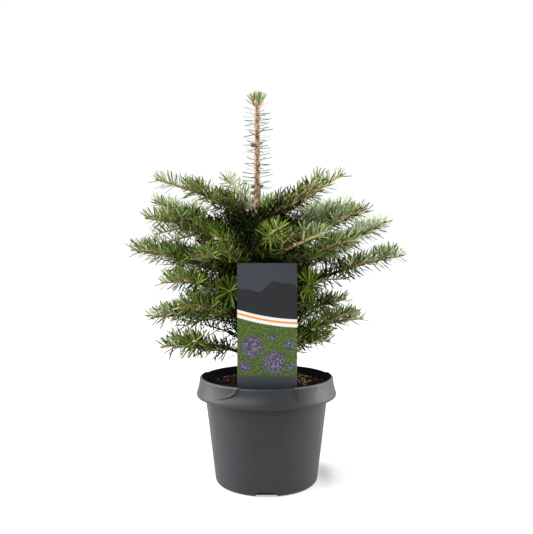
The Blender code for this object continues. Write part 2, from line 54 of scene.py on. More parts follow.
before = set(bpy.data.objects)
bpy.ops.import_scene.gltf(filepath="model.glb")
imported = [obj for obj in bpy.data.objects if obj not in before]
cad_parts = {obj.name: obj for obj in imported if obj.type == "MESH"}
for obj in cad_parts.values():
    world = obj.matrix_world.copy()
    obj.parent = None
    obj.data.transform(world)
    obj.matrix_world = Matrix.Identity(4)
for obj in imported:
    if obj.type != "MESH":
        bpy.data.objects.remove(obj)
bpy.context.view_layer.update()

# Sizes that the solids have too
CLEAR = 0.0003
SEED = 1
POT_HEIGHT = 0.142
POT_BASE_RADIUS = 0.0683
POT_NECK_RADIUS = 0.0824
POT_BAND_RADIUS = 0.0899
POT_BAND_BOTTOM = 0.130
POT_SKIRT_RADIUS = 0.0939
POT_SKIRT_WIDEST = 0.1205
POT_SKIRT_BOTTOM = 0.1165
POT_WALL = 0.0020
POT_FLOOR = 0.010
POT_CORNER = 0.006
LIP_ROUND = 0.0027
NOTCH_COUNT = 4
NOTCH_TOP_WIDTH = 0.021
NOTCH_FOOT_WIDTH = 0.030
NOTCH_HEIGHT = 0.007
NOTCH_DEPTH = 0.010
DRAIN_COUNT = 4
DRAIN_RADIUS = 0.0045
DRAIN_CIRCLE = 0.040
SOIL_TOP = 0.131
SOIL_CROWN = 0.0015
LABEL_WIDTH = 0.0749
LABEL_TOP = 0.2955
LABEL_THICKNESS = 0.0008
LABEL_X = 0.0008
LABEL_Y = -0.0665
TRUNK_FOOT = SOIL_TOP + SOIL_CROWN + CLEAR
TRUNK_TOP = 0.390
TRUNK_FOOT_RADIUS = 0.0064
TRUNK_TOP_RADIUS = 0.0042
ROOT_FLARE = 0.0040
ROOT_FLARE_HEIGHT = 0.010
TRUNK_OFFSET = 0.0125
TRUNK_STATIONS = 12
LEADER_TOP = 0.513
BOUGH_STATIONS = 3
RING_SPACING = 0.0090
PAIR_NODES = (0.40, 0.72)
PAIR_ANGLE = math.radians(42)
PAIR_ANGLE_SPREAD = (0.85, 1.15)
SIDE_SHARE = 0.80
SIDE_SPREAD = (0.90, 1.15)
SIDE_SHORTEST = 0.018
SIDE_LONGEST = 0.058
SIDE_RISE = (0.06, 0.24)
SIDE_EXTRA = 0.006
SHORTENING = 0.82
SHOOT_GAP = 0.0085
LIMB = -1

# Each branch: its height on the trunk, compass angle, reach, tip height, upward bow, and bare length
Branch = namedtuple("Branch", "name height azimuth reach tip_height arch bare")

BRANCHES = (
    Branch("top_left", 0.353, 190, 0.132, 0.403, 0.004, 0.030),
    Branch("top_back_left", 0.357, 120, 0.094, 0.414, 0.004, 0.026),
    Branch("top_right", 0.351, 350, 0.111, 0.409, -0.004, 0.028),
    Branch("top_back_right", 0.349, 66, 0.086, 0.380, 0.000, 0.0),
    Branch("upper_right", 0.322, 34, 0.156, 0.370, 0.004, 0.036),
    Branch("right_high", 0.300, 11, 0.152, 0.364, 0.002, 0.036),
    Branch("right_far", 0.262, 24, 0.198, 0.347, 0.002, 0.044),
    Branch("right_mid", 0.276, 344, 0.132, 0.321, 0.004, 0.034),
    Branch("right_long", 0.238, 356, 0.188, 0.304, 0.008, 0.044),
    Branch("front_right", 0.290, 312, 0.116, 0.332, 0.003, 0.0),
    Branch("front_high", 0.312, 281, 0.130, 0.337, 0.003, 0.030),
    Branch("front_left_high", 0.305, 232, 0.082, 0.326, 0.004, 0.0),
    Branch("left_upper", 0.318, 177, 0.150, 0.354, 0.004, 0.040),
    Branch("left_back", 0.300, 153, 0.164, 0.378, 0.002, 0.042),
    Branch("front_left", 0.283, 214, 0.091, 0.305, 0.003, 0.0),
    Branch("left_long", 0.270, 171, 0.177, 0.311, 0.004, 0.044),
    Branch("left_mid", 0.254, 192, 0.129, 0.269, 0.005, 0.036),
    Branch("left_droop", 0.198, 207, 0.116, 0.238, 0.010, 0.040),
    Branch("left_low", 0.215, 177, 0.149, 0.219, 0.006, 0.044),
    Branch("left_bottom", 0.158, 191, 0.136, 0.184, 0.013, 0.040),
    Branch("front_left_inner", 0.240, 228, 0.050, 0.256, 0.000, 0.0),
    Branch("front_right_inner", 0.250, 322, 0.075, 0.266, 0.000, 0.0),
    Branch("front_low_inner", 0.220, 318, 0.070, 0.241, 0.000, 0.0),
    Branch("right_low", 0.188, 352, 0.131, 0.221, 0.004, 0.036),
    Branch("right_low_back", 0.208, 34, 0.134, 0.236, 0.003, 0.032),
    Branch("right_bottom", 0.168, 332, 0.093, 0.195, 0.004, 0.0),
    Branch("back_high", 0.312, 100, 0.122, 0.356, 0.003, 0.030),
    Branch("back_right", 0.246, 62, 0.146, 0.300, 0.004, 0.036),
    Branch("back_left", 0.258, 122, 0.146, 0.306, 0.004, 0.036),
    Branch("back_left_low", 0.204, 140, 0.132, 0.244, 0.004, 0.034),
    Branch("back_low", 0.178, 92, 0.120, 0.208, 0.005, 0.0),
    Branch("front_inner", 0.200, 256, 0.048, 0.222, 0.000, 0.0),
)

# The orders of shoots: a branch's own stem, its side shoots, its finer twigs, the short shoots inside
# the crown, and those that come forward. A shoot has its branch, its order, its line, its radius at
# each end, the distance along it where needles start, and how much of it is older wood
STEM, SIDE, FINE, INNER, FORWARD = range(5)
Shoot = namedtuple("Shoot", "branch order line foot_radius tip_radius needles_from old_share")

# Finer twigs: where they leave a stem or a side shoot, and how long and how free they are
FINE_STEM_NODES = (0.05, 0.22)
FINE_BOUGH_NODES = (0.40, 0.62, 0.84)
FINE_SIDE_NODE = 0.36
FINE_SIDE_FROM = 0.036
FINE_STEM_SHARE = 0.50
FINE_SIDE_SHARE = 0.56
FINE_SHORTEST = 0.016
FINE_LONGEST = 0.046
FINE_GAP = 0.0045

# Short shoots on the trunk, between the whorls, whose needles all get painted shade
INNER_COUNT = 150
INNER_FROM = 0.182
INNER_TO = 0.350
INNER_LENGTH = (0.034, 0.078)
INNER_SLOPE = (0.05, 0.60)

# Steps of the fine lines and of the twigs' rings, and how far the tip of a twig bends upwards
LINE_STEP = 0.004
TWIG_RING = 0.0022
FEWEST_STEPS = 4
TIP_BOW = 0.020

# Shoots added to the rule's own: the branch and the share of its reach where they leave it, their
# compass angle, rise and length. The forward ones show end-on, and the side ones fill a gap beside
# their branch
Added = namedtuple("Added", "branch share azimuth rise length order")

ADDED = (
    Added("right_long", 0.34, 268, 0.02, 0.050, FORWARD),
    Added("right_long", 0.27, 274, -0.34, 0.050, FORWARD),
    Added("left_bottom", 0.62, 262, 0.24, 0.042, FORWARD),
    Added("left_upper", 0.38, 272, -0.12, 0.045, FORWARD),
    Added("left_mid", 0.27, 266, -0.05, 0.048, FORWARD),
    Added("left_back", 0.55, 258, 0.16, 0.048, FORWARD),
    Added("left_long", 0.58, 262, -0.10, 0.044, FORWARD),
    Added("right_low", 0.45, 278, 0.08, 0.040, FORWARD),
    Added("back_left", 0.55, 96, 0.10, 0.044, FORWARD),
    Added("back_right", 0.55, 88, 0.05, 0.046, FORWARD),
    Added("back_high", 0.60, 70, 0.10, 0.040, FORWARD),
    Added("right_far", 0.55, 86, 0.05, 0.042, FORWARD),
    Added("left_long", 0.50, 180, 0.55, 0.062, SIDE),
    Added("left_long", 0.30, 188, 0.42, 0.056, SIDE),
    Added("left_mid", 0.45, 200, 0.30, 0.046, SIDE),
    Added("left_upper", 0.45, 190, -0.30, 0.052, SIDE),
    Added("left_upper", 0.62, 184, -0.25, 0.045, SIDE),
    Added("left_long", 0.62, 176, 0.50, 0.050, SIDE),
    Added("left_long", 0.40, 182, 0.60, 0.050, SIDE),
    Added("front_left", 0.35, 186, 0.10, 0.066, SIDE),
    Added("left_upper", 0.30, 182, -0.50, 0.048, SIDE),
)
FORWARD_NEEDLES = 1.20

# Branches whose needles are bloomed and pale, or fresh and bright; whose bark is golden; that are a
# single shoot; and that end in one, with one pair of side shoots, which is shorter by a share, and
# with fine twigs near the trunk
PALE_BRANCHES = {"top_back_left", "left_back", "right_far", "back_high", "upper_right"}
FRESH_BRANCHES = {
    "front_high", "front_left_high", "front_left", "front_right_inner", "front_low_inner",
    "left_droop", "front_inner", "left_upper", "top_right", "top_left", "left_mid",
}
GOLDEN_BRANCHES = {"front_right", "top_right", "right_high", "right_bottom"}
LONE_BRANCHES = {"front_high", "front_left_high", "top_back_left"}
THIN_BRANCHES = {"top_left": 0.60, "top_right": 0.90}
THIN_PAIR = 2

# Branches that leave the trunk below the first height are low ones, and above the second they are of
# the top whorl
LOW_BRANCH = 0.225
TOP_WHORL = 0.345

# Where needles start: past the trunk's bark, further out at the top whorl, past most of the bare
# bough on the low branches, and past the foot of a side shoot
BARE_AT_TRUNK = 0.004
BARE_AT_TOP = 0.010
LOW_BARE_SHARE = 0.8
BARE_SIDE = 0.002
BARE_ADDED = 0.003

# Real thickness of the wood, its sides and end, and how much of a shoot is older wood
BOUGH_WOOD = 0.0028
STEM_TIP_WOOD = 0.0013
SIDE_WOOD = (0.0015, 0.0011)
FINE_WOOD = (0.0012, 0.0009)
STEM_OLD = 0.66
SIDE_OLD = 0.30
TWIG_SIDES = 6
TWIG_UNEVEN = (0.88, 1.14)
TWIG_END = 0.6
YOUNGER_CHANCE = 0.4

# The heights between which the trunk's bark changes, and the collar of a bough at the trunk
BARK_CHANGE = (0.342, 0.352)
COLLAR_RADIUS = 0.0016
COLLAR_LENGTH = 0.005

# Bark relief of the trunk and boughs, as height, grain and fractal roughness, step and depth; the
# buttresses at the trunk's foot; and its swellings at whorls and needle cushions, as height and size
BARK_SIDES = 40
BARK_RINGS = 380
BARK_RELIEF = 0.00042
BARK_GRAIN = (170, 170, 60)
BARK_FRACTAL = (0.9, 2.1, 4)
BARK_END = 0.55
TRUNK_SUNK = 0.002
BUTTRESSES = 3.0
BUTTRESS_SHARE = 0.30
BUTTRESS_TURN = 0.7
WHORL_SWELL = (0.00055, 0.0045)
TOP_SWELL = (0.0006, 0.0030)
CUSHION = (0.0007, 0.0011)
BOUGH_SIDES = 14
BOUGH_RING = 0.0012
BOUGH_SHORTEST = 0.024
BOUGH_RELIEF = 0.00022
BOUGH_GRAIN = 420.0
BOUGH_FRACTAL = (0.9, 2.0, 3)

# A needle's outline along its length, as shares of its length and half width, then its sides and bend
BLADE_STATIONS = (0.0, 0.20, 0.68, 0.93, 1.0)
BLADE_WIDTHS = (0.45, 0.90, 1.00, 0.78, 0.30)
BLADE_SIDES = 4
BLADE_TOP = 0.16
BLADE_KEEL = 0.26
BLADE_BEND = 0.11

# How needles stand on a shoot: in a spiral, fewer below it, lifted upwards, leaning to its tip, each a
# little unlike the next, and smaller on fine twigs and at tips
GOLDEN_ANGLE = math.radians(137.508)
BELOW = -0.35
BELOW_KEPT = 0.62
UP_LIFT = 0.18
SIDE_LIFT = 0.30
LIFT_SPREAD = (0.7, 1.2)
LEAN_AT_FOOT = math.radians(18)
LEAN_AT_TIP = math.radians(48)
FORWARD_LEAN = math.radians(24)
LEAN_JITTER = math.radians(5)
ANGLE_JITTER = 0.07
TWIST_JITTER = math.radians(34)
STEP_JITTER = 0.8
FORWARD_TOP = 0.25
LENGTH_SPREAD = (0.86, 1.06)
WIDTH_SPREAD = (0.85, 1.1)
FINE_NEEDLES = 0.88
TIP_NEEDLES = 0.74
ROOT_SUNK = 0.6

# The spacing of needles for each order of shoot, and on the branches below a height
SPACING_BY_ORDER = (0.76, 0.76, 0.92, 1.05, 0.52)
LOW_WHORL = 0.200
LOW_SPACING = 1.22
NEEDLES_PER_PIECE = 5200

# The room that needles keep: to the card, its edges and its faces, to the pot's rim, its inside
# and its outside, to the soil, and to the middle of the trunk
CARD_ROOM = 0.0015
CARD_FACE_ROOM = 0.0018
RIM_ROOM = 0.001
RIM_INSIDE = 0.079
RIM_OUTSIDE = 0.098
SOIL_ROOM = 0.004
TRUNK_ROOM = 0.0045

# Material slots of the needles. Painted shade: needles near the trunk, on its left and its right,
# behind the front of the crown, and in hollows get shade green or deep green: each hollow's left,
# right, foot, top, front and back
SHADE, DEEP, GREEN, BRIGHT, MIST, SILVER, PALE = range(7)
SHADE_RADIUS = (0.050, 0.033)
SHADE_FRONT = -0.015
SHADE_TOP = 0.355
DARK_SHARE = 0.86
SHADE_SHARE = 0.8
HOLLOWS = (
    (-0.088, -0.012, 0.288, 0.360, -0.012, 0.030),
    (0.030, 0.100, 0.228, 0.285, -0.050, 0.050),
)

# Shares of needles by colour: fresh sprays, the spray's own colour on pale and on other branches, up
# to which share the rest is green and bright, how few are deep near the trunk, further out and higher
# up, which hang, and how many are frosted or silver. Deep needles near the trunk, low down and hanging
# are painted shade, and so are deep ones that are green below
FRESH_SHARE = 0.75
PALE_OWN = 0.72
OTHER_OWN = 0.55
GREEN_TO = 0.80
BRIGHT_TO = 0.90
NOT_DEEP = 0.42
NOT_DEEP_OUTSIDE = 0.40
NOT_DEEP_ABOVE = 0.18
CROWN_DEPTH = 0.08
CROWN_FOOT = 0.20
CROWN_HEIGHT = 0.16
HANGING = -0.2
HANGING_SHARE = 0.55
FROST_LONE = 0.10
FROST_STEM = 0.60
FROST_OTHER = 0.28
FROST_FROM = 0.10
FROST_TIP = 0.9
SILVER_SHARE = 0.12
SILVER_PALE = 0.50
SILVER_OUTSIDE = 0.40
SILVER_FROM = 0.12
SILVER_DEPTH = 0.06
GREEN_UNDER = 0.6

# The soil's mesh and lumps, and the crumbs, chips and straw on it
SOIL_RINGS = 64
SOIL_SIDES = 160
SOIL_CROWN_AREA = 0.0018
SOIL_LUMPS = 0.0011
SOIL_GRAIN = 160.0
SOIL_FRACTAL = (0.8, 2.1, 5)
CRUMBS = 2200
CRUMB_SIZE = (0.0005, 0.0017)
CRUMB_SHARES = (0.50, 0.28, 0.17, 0.0, 0.05)
CRUMB_STATIONS = (0.0, 0.35, 0.75, 1.0)
CRUMB_SWELL = (0.35, 0.9, 1.0, 0.3)
STRAWS = 30
STRAWS_AREA = ((-0.07, 0.07), (-0.06, 0.07))
RIGHT_STRAWS = 22
RIGHT_STRAWS_AREA = ((0.038, 0.058), (-0.018, 0.045))
STRAW_LENGTH = (0.007, 0.018)
STRAW_RADIUS = (0.0003, 0.0006)
STRAW_BOW = 0.0015
STRAW_SIDES = 4
STRAW_SLOT = 3

# What only the dressed pot has: a shallow bay in the front of its lip, which sweeps to the left as it
# goes down and fades out, a bead along the bay's left edge, a step back at the rear, and a rim that
# dips where it stands back
BAY_LEFT = math.radians(-23.2)
BAY_RIGHT = math.radians(23.0)
BAY_DEPTH = 0.0021
BAY_EDGE = 0.024
BAY_RIGHT_EDGE = 0.05
BAY_SWEEP = 0.057
BAY_SWEEP_DROP = 0.0093
BAY_SWEEP_POWER = 2.64
BAY_FADE = (0.009, 0.021)
BEAD_HEIGHT = 0.0008
BEAD_WIDTH = 0.016
BACK_FROM = math.radians(106)
BACK_EDGE = 0.026
BACK_DEPTH = 0.0014
RIM_DIP = 0.6
OUTER_ROOM = 0.003

# The pot's mesh: its sides, how many rows of its profile are inside, which take a near-black painted
# shade, and its edges
POT_SIDES = 480
INSIDE_ROWS = 13
SKIRT_ROUND = 0.0016
POT_SHARP = math.radians(38)
MERGED = 0.00002

# Label: its corners, half the width across which its bands change, its arc and its hills
LABEL_CORNER = 0.0016
LABEL_CORNER_STEPS = 6
PRINT_EDGE = 0.0003
ARC_MIDDLE = 0.045
ARC_BEND = 1.9
ARC_HEIGHT = 0.2150
HILL_HEIGHT = 0.2665

# Round blooms on the label: across, height and radius
LABEL_DISCS = (
    (-0.0175, 0.1905, 0.0145), (0.0100, 0.1715, 0.0150), (0.0285, 0.1935, 0.0072),
    (-0.0265, 0.1660, 0.0078), (0.0315, 0.1655, 0.0050), (0.0075, 0.2030, 0.0055),
)

# Buds: their outline, then their share with resin and their size for each order of shoot
BUD_STATIONS = (0.0, 0.22, 0.5, 0.78, 1.0)
BUD_SWELL = (0.55, 0.95, 1.0, 0.66, 0.10)
BUD_RESIN = (0.24, 0.10, 0.02, 0.0, 0.50)
BUD_SIZE = (0.95, 0.76, 0.48, 0.0, 0.80)
BUD_LENGTH = 0.0056
BUD_WIDTH = 0.0038
SIDE_BUD_LENGTH = 0.0044
SIDE_BUD_WIDTH = 0.0030

# Buds on the side of the leader: height, compass angle and width. Those below a height are node buds
LEADER_BUDS = (
    (0.4505, 186.0, 0.0062), (0.4535, 12.0, 0.0040), (0.3950, 178.0, 0.0052),
    (0.3870, 196.0, 0.0052), (0.3960, 4.0, 0.0050), (0.3900, 250.0, 0.0040),
)
NODE_TOP = 0.400

# The leader's wood, its needles, and the tuft round the buds at its top, with lengths and widths
LEADER_WOOD_TOP = 0.5075
LEADER_RADIUS = 0.0040
LEADER_TIP_RADIUS = 0.0034
LEADER_SPACING = 0.00112
LEADER_BARE = 0.004
LEADER_JITTER = 0.0004
LEADER_NEEDLE = ((0.0150, 0.0195), (0.0011, 0.0014))
TUFT_COUNT = 48
TUFT_NEEDLE = ((0.0145, 0.0180), (0.0013, 0.0017))
TOP_BUDS = 6

# The camera, the floor's size, the sun's direction and width, and where the side lights point
CAMERA_PLACE = (0.0, -0.900, 0.318)
CAMERA_PITCH = math.radians(90.0 - 1.88)
CAMERA_LENS = 45.1
SENSOR_WIDTH = 36.0
FLOOR_SIZE = 60.0
SUN_AIM = (0.50, 0.34, -0.80)
SUN_WIDTH = math.radians(24)
LIGHT_TARGET = (0.0, 0.0, 0.20)

# Painted shadow: the floor's glow is less in a soft patch to the right of the pot's foot
FOOT_SHADE = 0.40
FOOT_SHADE_X = 0.079
FOOT_SHADE_Y = 0.026
FOOT_SHADE_WIDTH = 0.015
FOOT_SHADE_DEPTH = 0.045

TREE_SETTINGS = "korean_fir"


def unit(vectors):
    """Vectors scaled to length one, along the last axis."""
    return vectors / np.linalg.norm(vectors, axis=-1, keepdims=True)


def ease(value, low, high):
    """A smooth step from 0 at low to 1 at high."""
    share = np.clip((value - low) / (high - low), 0.0, 1.0)
    return share * share * (3.0 - 2.0 * share)


def twisted(tops, aims, angles):
    """Top directions turned about their needles."""
    sides = np.cross(tops, aims)
    return unit(tops * np.cos(angles)[:, None] + sides * np.sin(angles)[:, None])


def settings():
    """The user's sizes and colours."""
    return getattr(bpy.context.scene, TREE_SETTINGS)


def tint(name, description, default):
    """A colour that the user may change."""
    return FloatVectorProperty(name=name, description=description, subtype="COLOR", default=default)


def amount(name, description, default, unit="NONE"):
    """A size or a strength that the user may change."""
    return FloatProperty(name=name, description=description, default=default, unit=unit)


class FirNeedles(bpy.types.PropertyGroup):
    """Size and colours of the needles."""

    length: amount("Length", "Length of a full-grown needle", 0.0195, "LENGTH")
    width: amount("Width", "Width of a needle at its widest", 0.0017, "LENGTH")
    spacing: amount("Spacing", "Length of shoot for each needle", 0.00114, "LENGTH")
    # Shade green is painted shade: a near-black green for needles inside the crown. Deep green is the
    # tone of old needles, and also painted shade for needles low down, inside and below shoots.
    shade: tint("Shade green", "Needles in the dark inside of the crown", (0.0045, 0.0075, 0.0010))
    deep: tint("Deep green", "Upper side of old needles", (0.014, 0.024, 0.003))
    green: tint("Green", "Upper side of most needles", (0.058, 0.092, 0.010))
    bright: tint("Bright green", "Upper side of young needles", (0.130, 0.190, 0.018))
    mist: tint("Mist green", "Upper side of bloomed needles", (0.290, 0.350, 0.215))
    silver: tint("Silver", "White wax bands of the underside", (0.430, 0.490, 0.330))
    pale: tint("Pale green", "Underside where the wax is thin", (0.210, 0.275, 0.095))


class FirWood(bpy.types.PropertyGroup):
    """Colours of the bark, twigs and buds."""

    bark: tint("Bark", "Bark of the trunk", (0.060, 0.040, 0.025))
    leader: tint("Leader", "Pinkish bark of this year's leader", (0.270, 0.180, 0.120))
    young: tint("Young twig", "Golden bark of young twigs", (0.500, 0.360, 0.160))
    old: tint("Old twig", "Brown bark of older twigs", (0.034, 0.020, 0.010))
    bud: tint("Bud", "Reddish bud scales", (0.200, 0.078, 0.044))
    resin: tint("Resin", "Whitish resin on the buds", (0.400, 0.275, 0.200))


class FirPot(bpy.types.PropertyGroup):
    """Colours of the pot, soil and label."""

    plastic: tint("Plastic", "Dark grey of the pot", (0.0155, 0.0160, 0.0185))
    peat: tint("Peat", "Dark brown of the soil", (0.0150, 0.0082, 0.0057))
    slate: tint("Slate", "Dark field of the label", (0.0125, 0.0133, 0.0145))
    mist: tint("Mist", "Blue grey field of the label", (0.030, 0.037, 0.045))
    stripe: tint("Stripe", "Orange stripe of the label", (0.720, 0.210, 0.014))
    meadow: tint("Meadow", "Green field of the label", (0.050, 0.085, 0.014))
    violet: tint("Violet", "Grey violet blooms of the label", (0.120, 0.112, 0.160))


class FirStage(bpy.types.PropertyGroup):
    """Floor and light."""

    floor: tint("Floor", "Pale floor", (0.420, 0.420, 0.420))
    glow: amount("Floor glow", "Light that the floor gives off", 0.51)
    sun: amount("Sun", "Strength of the soft key light", 3.4)
    sides: amount("Side lights", "Power of the soft box on each side", 32.0, "POWER")
    surround: amount("Surround", "Strength of the white surround", 1.0)


class FirSettings(bpy.types.PropertyGroup):
    """All that a user may change."""

    needles: PointerProperty(type=FirNeedles)
    wood: PointerProperty(type=FirWood)
    pot: PointerProperty(type=FirPot)
    stage: PointerProperty(type=FirStage)


class Space:
    """The lines that the masses and limbs run along, and the room between them."""

    def __init__(self):
        self.stretches = []
        self.table = None

    def add(self, line, owner):
        """Take in a line of points that belongs to a mass, or to a limb."""
        for here, there in zip(line, line[1:]):
            self.stretches.append((*here, *(there - here), owner))
        self.table = None

    def is_clear(self, line, owner, gap):
        """True where a line keeps a gap to all that isn't its own mass."""
        if self.table is None:
            self.table = np.array(self.stretches)
        others = self.table[self.table[:, 6] != owner]
        for point in line:
            offset = np.array(point) - others[:, 0:3]
            along = others[:, 3:6]
            share = np.clip((offset * along).sum(1) / (along * along).sum(1), 0.0, 1.0)
            nearest = np.linalg.norm(offset - along * share[:, None], axis=1).min()
            if nearest < gap or not off_pot_and_label(point, gap / 2):
                return False
        return True


def off_pot_and_label(point, room):
    """True where a point keeps some room to the pot's rim and to the label card."""
    if point[2] < POT_HEIGHT + room:
        return False
    beside = abs(point[0] - LABEL_X) - LABEL_WIDTH / 2
    before = abs(point[1] - LABEL_Y) - LABEL_THICKNESS / 2
    above = point[2] - LABEL_TOP
    return max(beside, before, above) > room


def trunk_point(height):
    """Middle of the trunk at a height: it leans to the left and comes upright towards its top."""
    below = max(TRUNK_TOP - height, 0.0) / (TRUNK_TOP - TRUNK_FOOT)
    return Vector((-TRUNK_OFFSET * (1.0 - below ** 2), 0.0, height))


def trunk_radius(height):
    """Trunk radius: an even taper, with a root flare at the soil."""
    share = (height - TRUNK_FOOT) / (TRUNK_TOP - TRUNK_FOOT)
    taper = TRUNK_FOOT_RADIUS + (TRUNK_TOP_RADIUS - TRUNK_FOOT_RADIUS) * share
    return taper + ROOT_FLARE * math.exp((TRUNK_FOOT - height) / ROOT_FLARE_HEIGHT)


def as_array(points):
    """Vectors as the rows of an array."""
    return np.array([tuple(point) for point in points])


def trunk_points(heights):
    """Middles of the trunk and leader at several heights."""
    return as_array(trunk_point(height) for height in heights)


def branch_point(branch, share):
    """A point on the line of a bough and its main stem, at a share of its reach."""
    foot = trunk_point(branch.height)
    angle = math.radians(branch.azimuth)
    along = branch.reach * share
    rise = (branch.tip_height - branch.height) * share
    bow = 4.0 * branch.arch * share * (1.0 - share)
    return foot + Vector((along * math.cos(angle), along * math.sin(angle), rise + bow))


def branch_line(branch, start, stop, spacing):
    """Points along a branch between two shares of its reach."""
    count = max(2, round(branch.reach * (stop - start) / spacing))
    return [branch_point(branch, start + (stop - start) * index / count) for index in range(count + 1)]


def stem_line(branch):
    """The main stem of a mass, which starts clear of its bough's tip or inside the trunk."""
    start = 0.0 if branch.bare == 0.0 else (branch.bare + CLEAR) / branch.reach
    return branch_line(branch, start, 1.0, RING_SPACING)


def free_line(root, away, length, owner, space, gap, shortest):
    """A straight line from a root, shortened until it is clear, or None where it is too tight."""
    while length >= shortest:
        count = max(2, round(length / RING_SPACING))
        line = [root + away * (length * index / count) for index in range(count + 1)]
        if space.is_clear(line[1:], owner, gap):
            return line
        length *= SHORTENING
    return None


def side_lines(branch, owner, space, rng):
    """The side shoots of a mass: a pair at each node, shortened or left out where it is tight."""
    lines = []
    first = branch.bare / branch.reach
    for node in PAIR_NODES:
        share = first + (1.0 - first) * node
        root = branch_point(branch, share)
        ahead = (branch_point(branch, 1.0) - branch_point(branch, share)).normalized()
        remaining = branch.reach * (1.0 - share)
        for side in (-1.0, 1.0):
            angle = side * PAIR_ANGLE * rng.uniform(*PAIR_ANGLE_SPREAD)
            length = min(SIDE_LONGEST, SIDE_SHARE * remaining * rng.uniform(*SIDE_SPREAD) + SIDE_EXTRA)
            away = Matrix.Rotation(angle, 3, "Z") @ ahead
            away.z += rng.uniform(*SIDE_RISE)
            away.normalize()
            line = free_line(root, away, length, owner, space, SHOOT_GAP, SIDE_SHORTEST)
            if line is not None:
                space.add(line, owner)
                lines.append(line)
    return lines


def fine_pair(root, ahead, length, owner, space, rng):
    """A pair of fine twigs, one to each side of a shoot."""
    lines = []
    for side in (-1.0, 1.0):
        angle = side * PAIR_ANGLE * rng.uniform(*PAIR_ANGLE_SPREAD)
        away = Matrix.Rotation(angle, 3, "Z") @ ahead
        away.z += rng.uniform(-SIDE_RISE[1], SIDE_RISE[1])
        away.normalize()
        wanted = min(FINE_LONGEST, length * rng.uniform(*SIDE_SPREAD))
        line = free_line(root, away, wanted, owner, space, FINE_GAP, FINE_SHORTEST)
        if line is not None:
            space.add(line, owner)
            lines.append(line)
    return lines


def fine_lines(branch, owner, sides, space, rng):
    """The finer twigs of a mass, on its bough, its stem and its side shoots."""
    lines = []
    first = branch.bare / branch.reach
    shares = []
    if branch.bare > 0.0 and branch.height > LOW_BRANCH:
        shares += [first * node for node in FINE_BOUGH_NODES]
    shares += [first + (1.0 - first) * node for node in FINE_STEM_NODES]
    for share in shares:
        root = branch_point(branch, share)
        ahead = (branch_point(branch, 1.0) - root).normalized()
        length = FINE_STEM_SHARE * branch.reach * (1.0 - share) + SIDE_EXTRA
        lines += fine_pair(root, ahead, length, owner, space, rng)
    for side in sides:
        reach = (side[-1] - side[0]).length
        if reach < FINE_SIDE_FROM:
            continue
        ahead = (side[-1] - side[0]).normalized()
        root = side[0] + ahead * (reach * FINE_SIDE_NODE)
        length = FINE_SIDE_SHARE * reach * (1.0 - FINE_SIDE_NODE) + SIDE_EXTRA
        lines += fine_pair(root, ahead, length, owner, space, rng)
    return lines


def steps_of(length, step):
    """How many steps of about one size a fine line has."""
    return max(FEWEST_STEPS, round(length / step))


def bowed(line, bow):
    """A straight line made into fine steps, with its tip bent upwards a little."""
    start = np.array(line[0])
    reach = np.array(line[-1]) - start
    length = np.linalg.norm(reach)
    shares = np.linspace(0.0, 1.0, steps_of(length, LINE_STEP) + 1)
    points = start + shares[:, None] * reach
    points[:, 2] += bow * length * (shares ** 2 - shares)
    return points


def fill_space(space):
    """Take in the lines of the trunk, the boughs, the stems and the leader."""
    step = (TRUNK_TOP - TRUNK_FOOT) / TRUNK_STATIONS
    space.add([trunk_point(TRUNK_FOOT + step * index) for index in range(TRUNK_STATIONS + 1)], LIMB)
    for owner, branch in enumerate(BRANCHES):
        if branch.bare > 0.0:
            foot = branch_line(branch, 0.0, branch.bare / branch.reach, branch.bare / BOUGH_STATIONS)
            space.add(foot, LIMB)
        space.add(stem_line(branch), owner)
    space.add([trunk_point(TRUNK_TOP), trunk_point(LEADER_TOP)], len(BRANCHES))


@lru_cache(maxsize=1)
def grow():
    """All shoots, by the rule that the solids follow, carried on to finer twigs."""
    space = Space()
    fill_space(space)
    sides = []
    for owner, branch in enumerate(BRANCHES):
        rng = random.Random(f"side shoots of {branch.name}, {SEED}")
        sides.append(side_lines(branch, owner, space, rng))
    shoots = []
    for owner, branch in enumerate(BRANCHES):
        rng = random.Random(f"fine twigs of {branch.name}, {SEED}")
        stem = as_array(branch_line(branch, 0.0, 1.0, LINE_STEP))
        bare = BARE_AT_TOP if branch.height > TOP_WHORL else BARE_AT_TRUNK
        needles_from = trunk_radius(branch.height) + bare
        if branch.height < LOW_BRANCH:
            needles_from = max(needles_from, LOW_BARE_SHARE * branch.bare)
        shoots.append(Shoot(branch, STEM, stem, BOUGH_WOOD, STEM_TIP_WOOD, needles_from, STEM_OLD))
        if branch.name in LONE_BRANCHES:
            continue
        kept = full = sides[owner]
        if branch.name in THIN_BRANCHES:
            share = THIN_BRANCHES[branch.name]
            kept = [[line[0], line[0].lerp(line[-1], share)] for line in kept[:THIN_PAIR]]
            full = []
        for line in kept:
            shoots.append(Shoot(branch, SIDE, bowed(line, TIP_BOW), *SIDE_WOOD, BARE_SIDE, SIDE_OLD))
        for line in fine_lines(branch, owner, full, space, rng):
            shoots.append(Shoot(branch, FINE, bowed(line, TIP_BOW), *FINE_WOOD, BARE_SIDE, 0.0))
    return shoots + added_shoots() + inner_shoots(space)


def added_shoots():
    """The shoots that are added to their branches."""
    shoots = []
    for item in ADDED:
        branch = next(branch for branch in BRANCHES if branch.name == item.branch)
        root = branch_point(branch, item.share)
        angle = math.radians(item.azimuth)
        away = Vector((math.cos(angle), math.sin(angle), item.rise)).normalized()
        line = [root, root + away * item.length]
        bent = bowed(line, TIP_BOW)
        shoots.append(Shoot(branch, item.order, bent, *SIDE_WOOD, BARE_ADDED, SIDE_OLD))
    return shoots


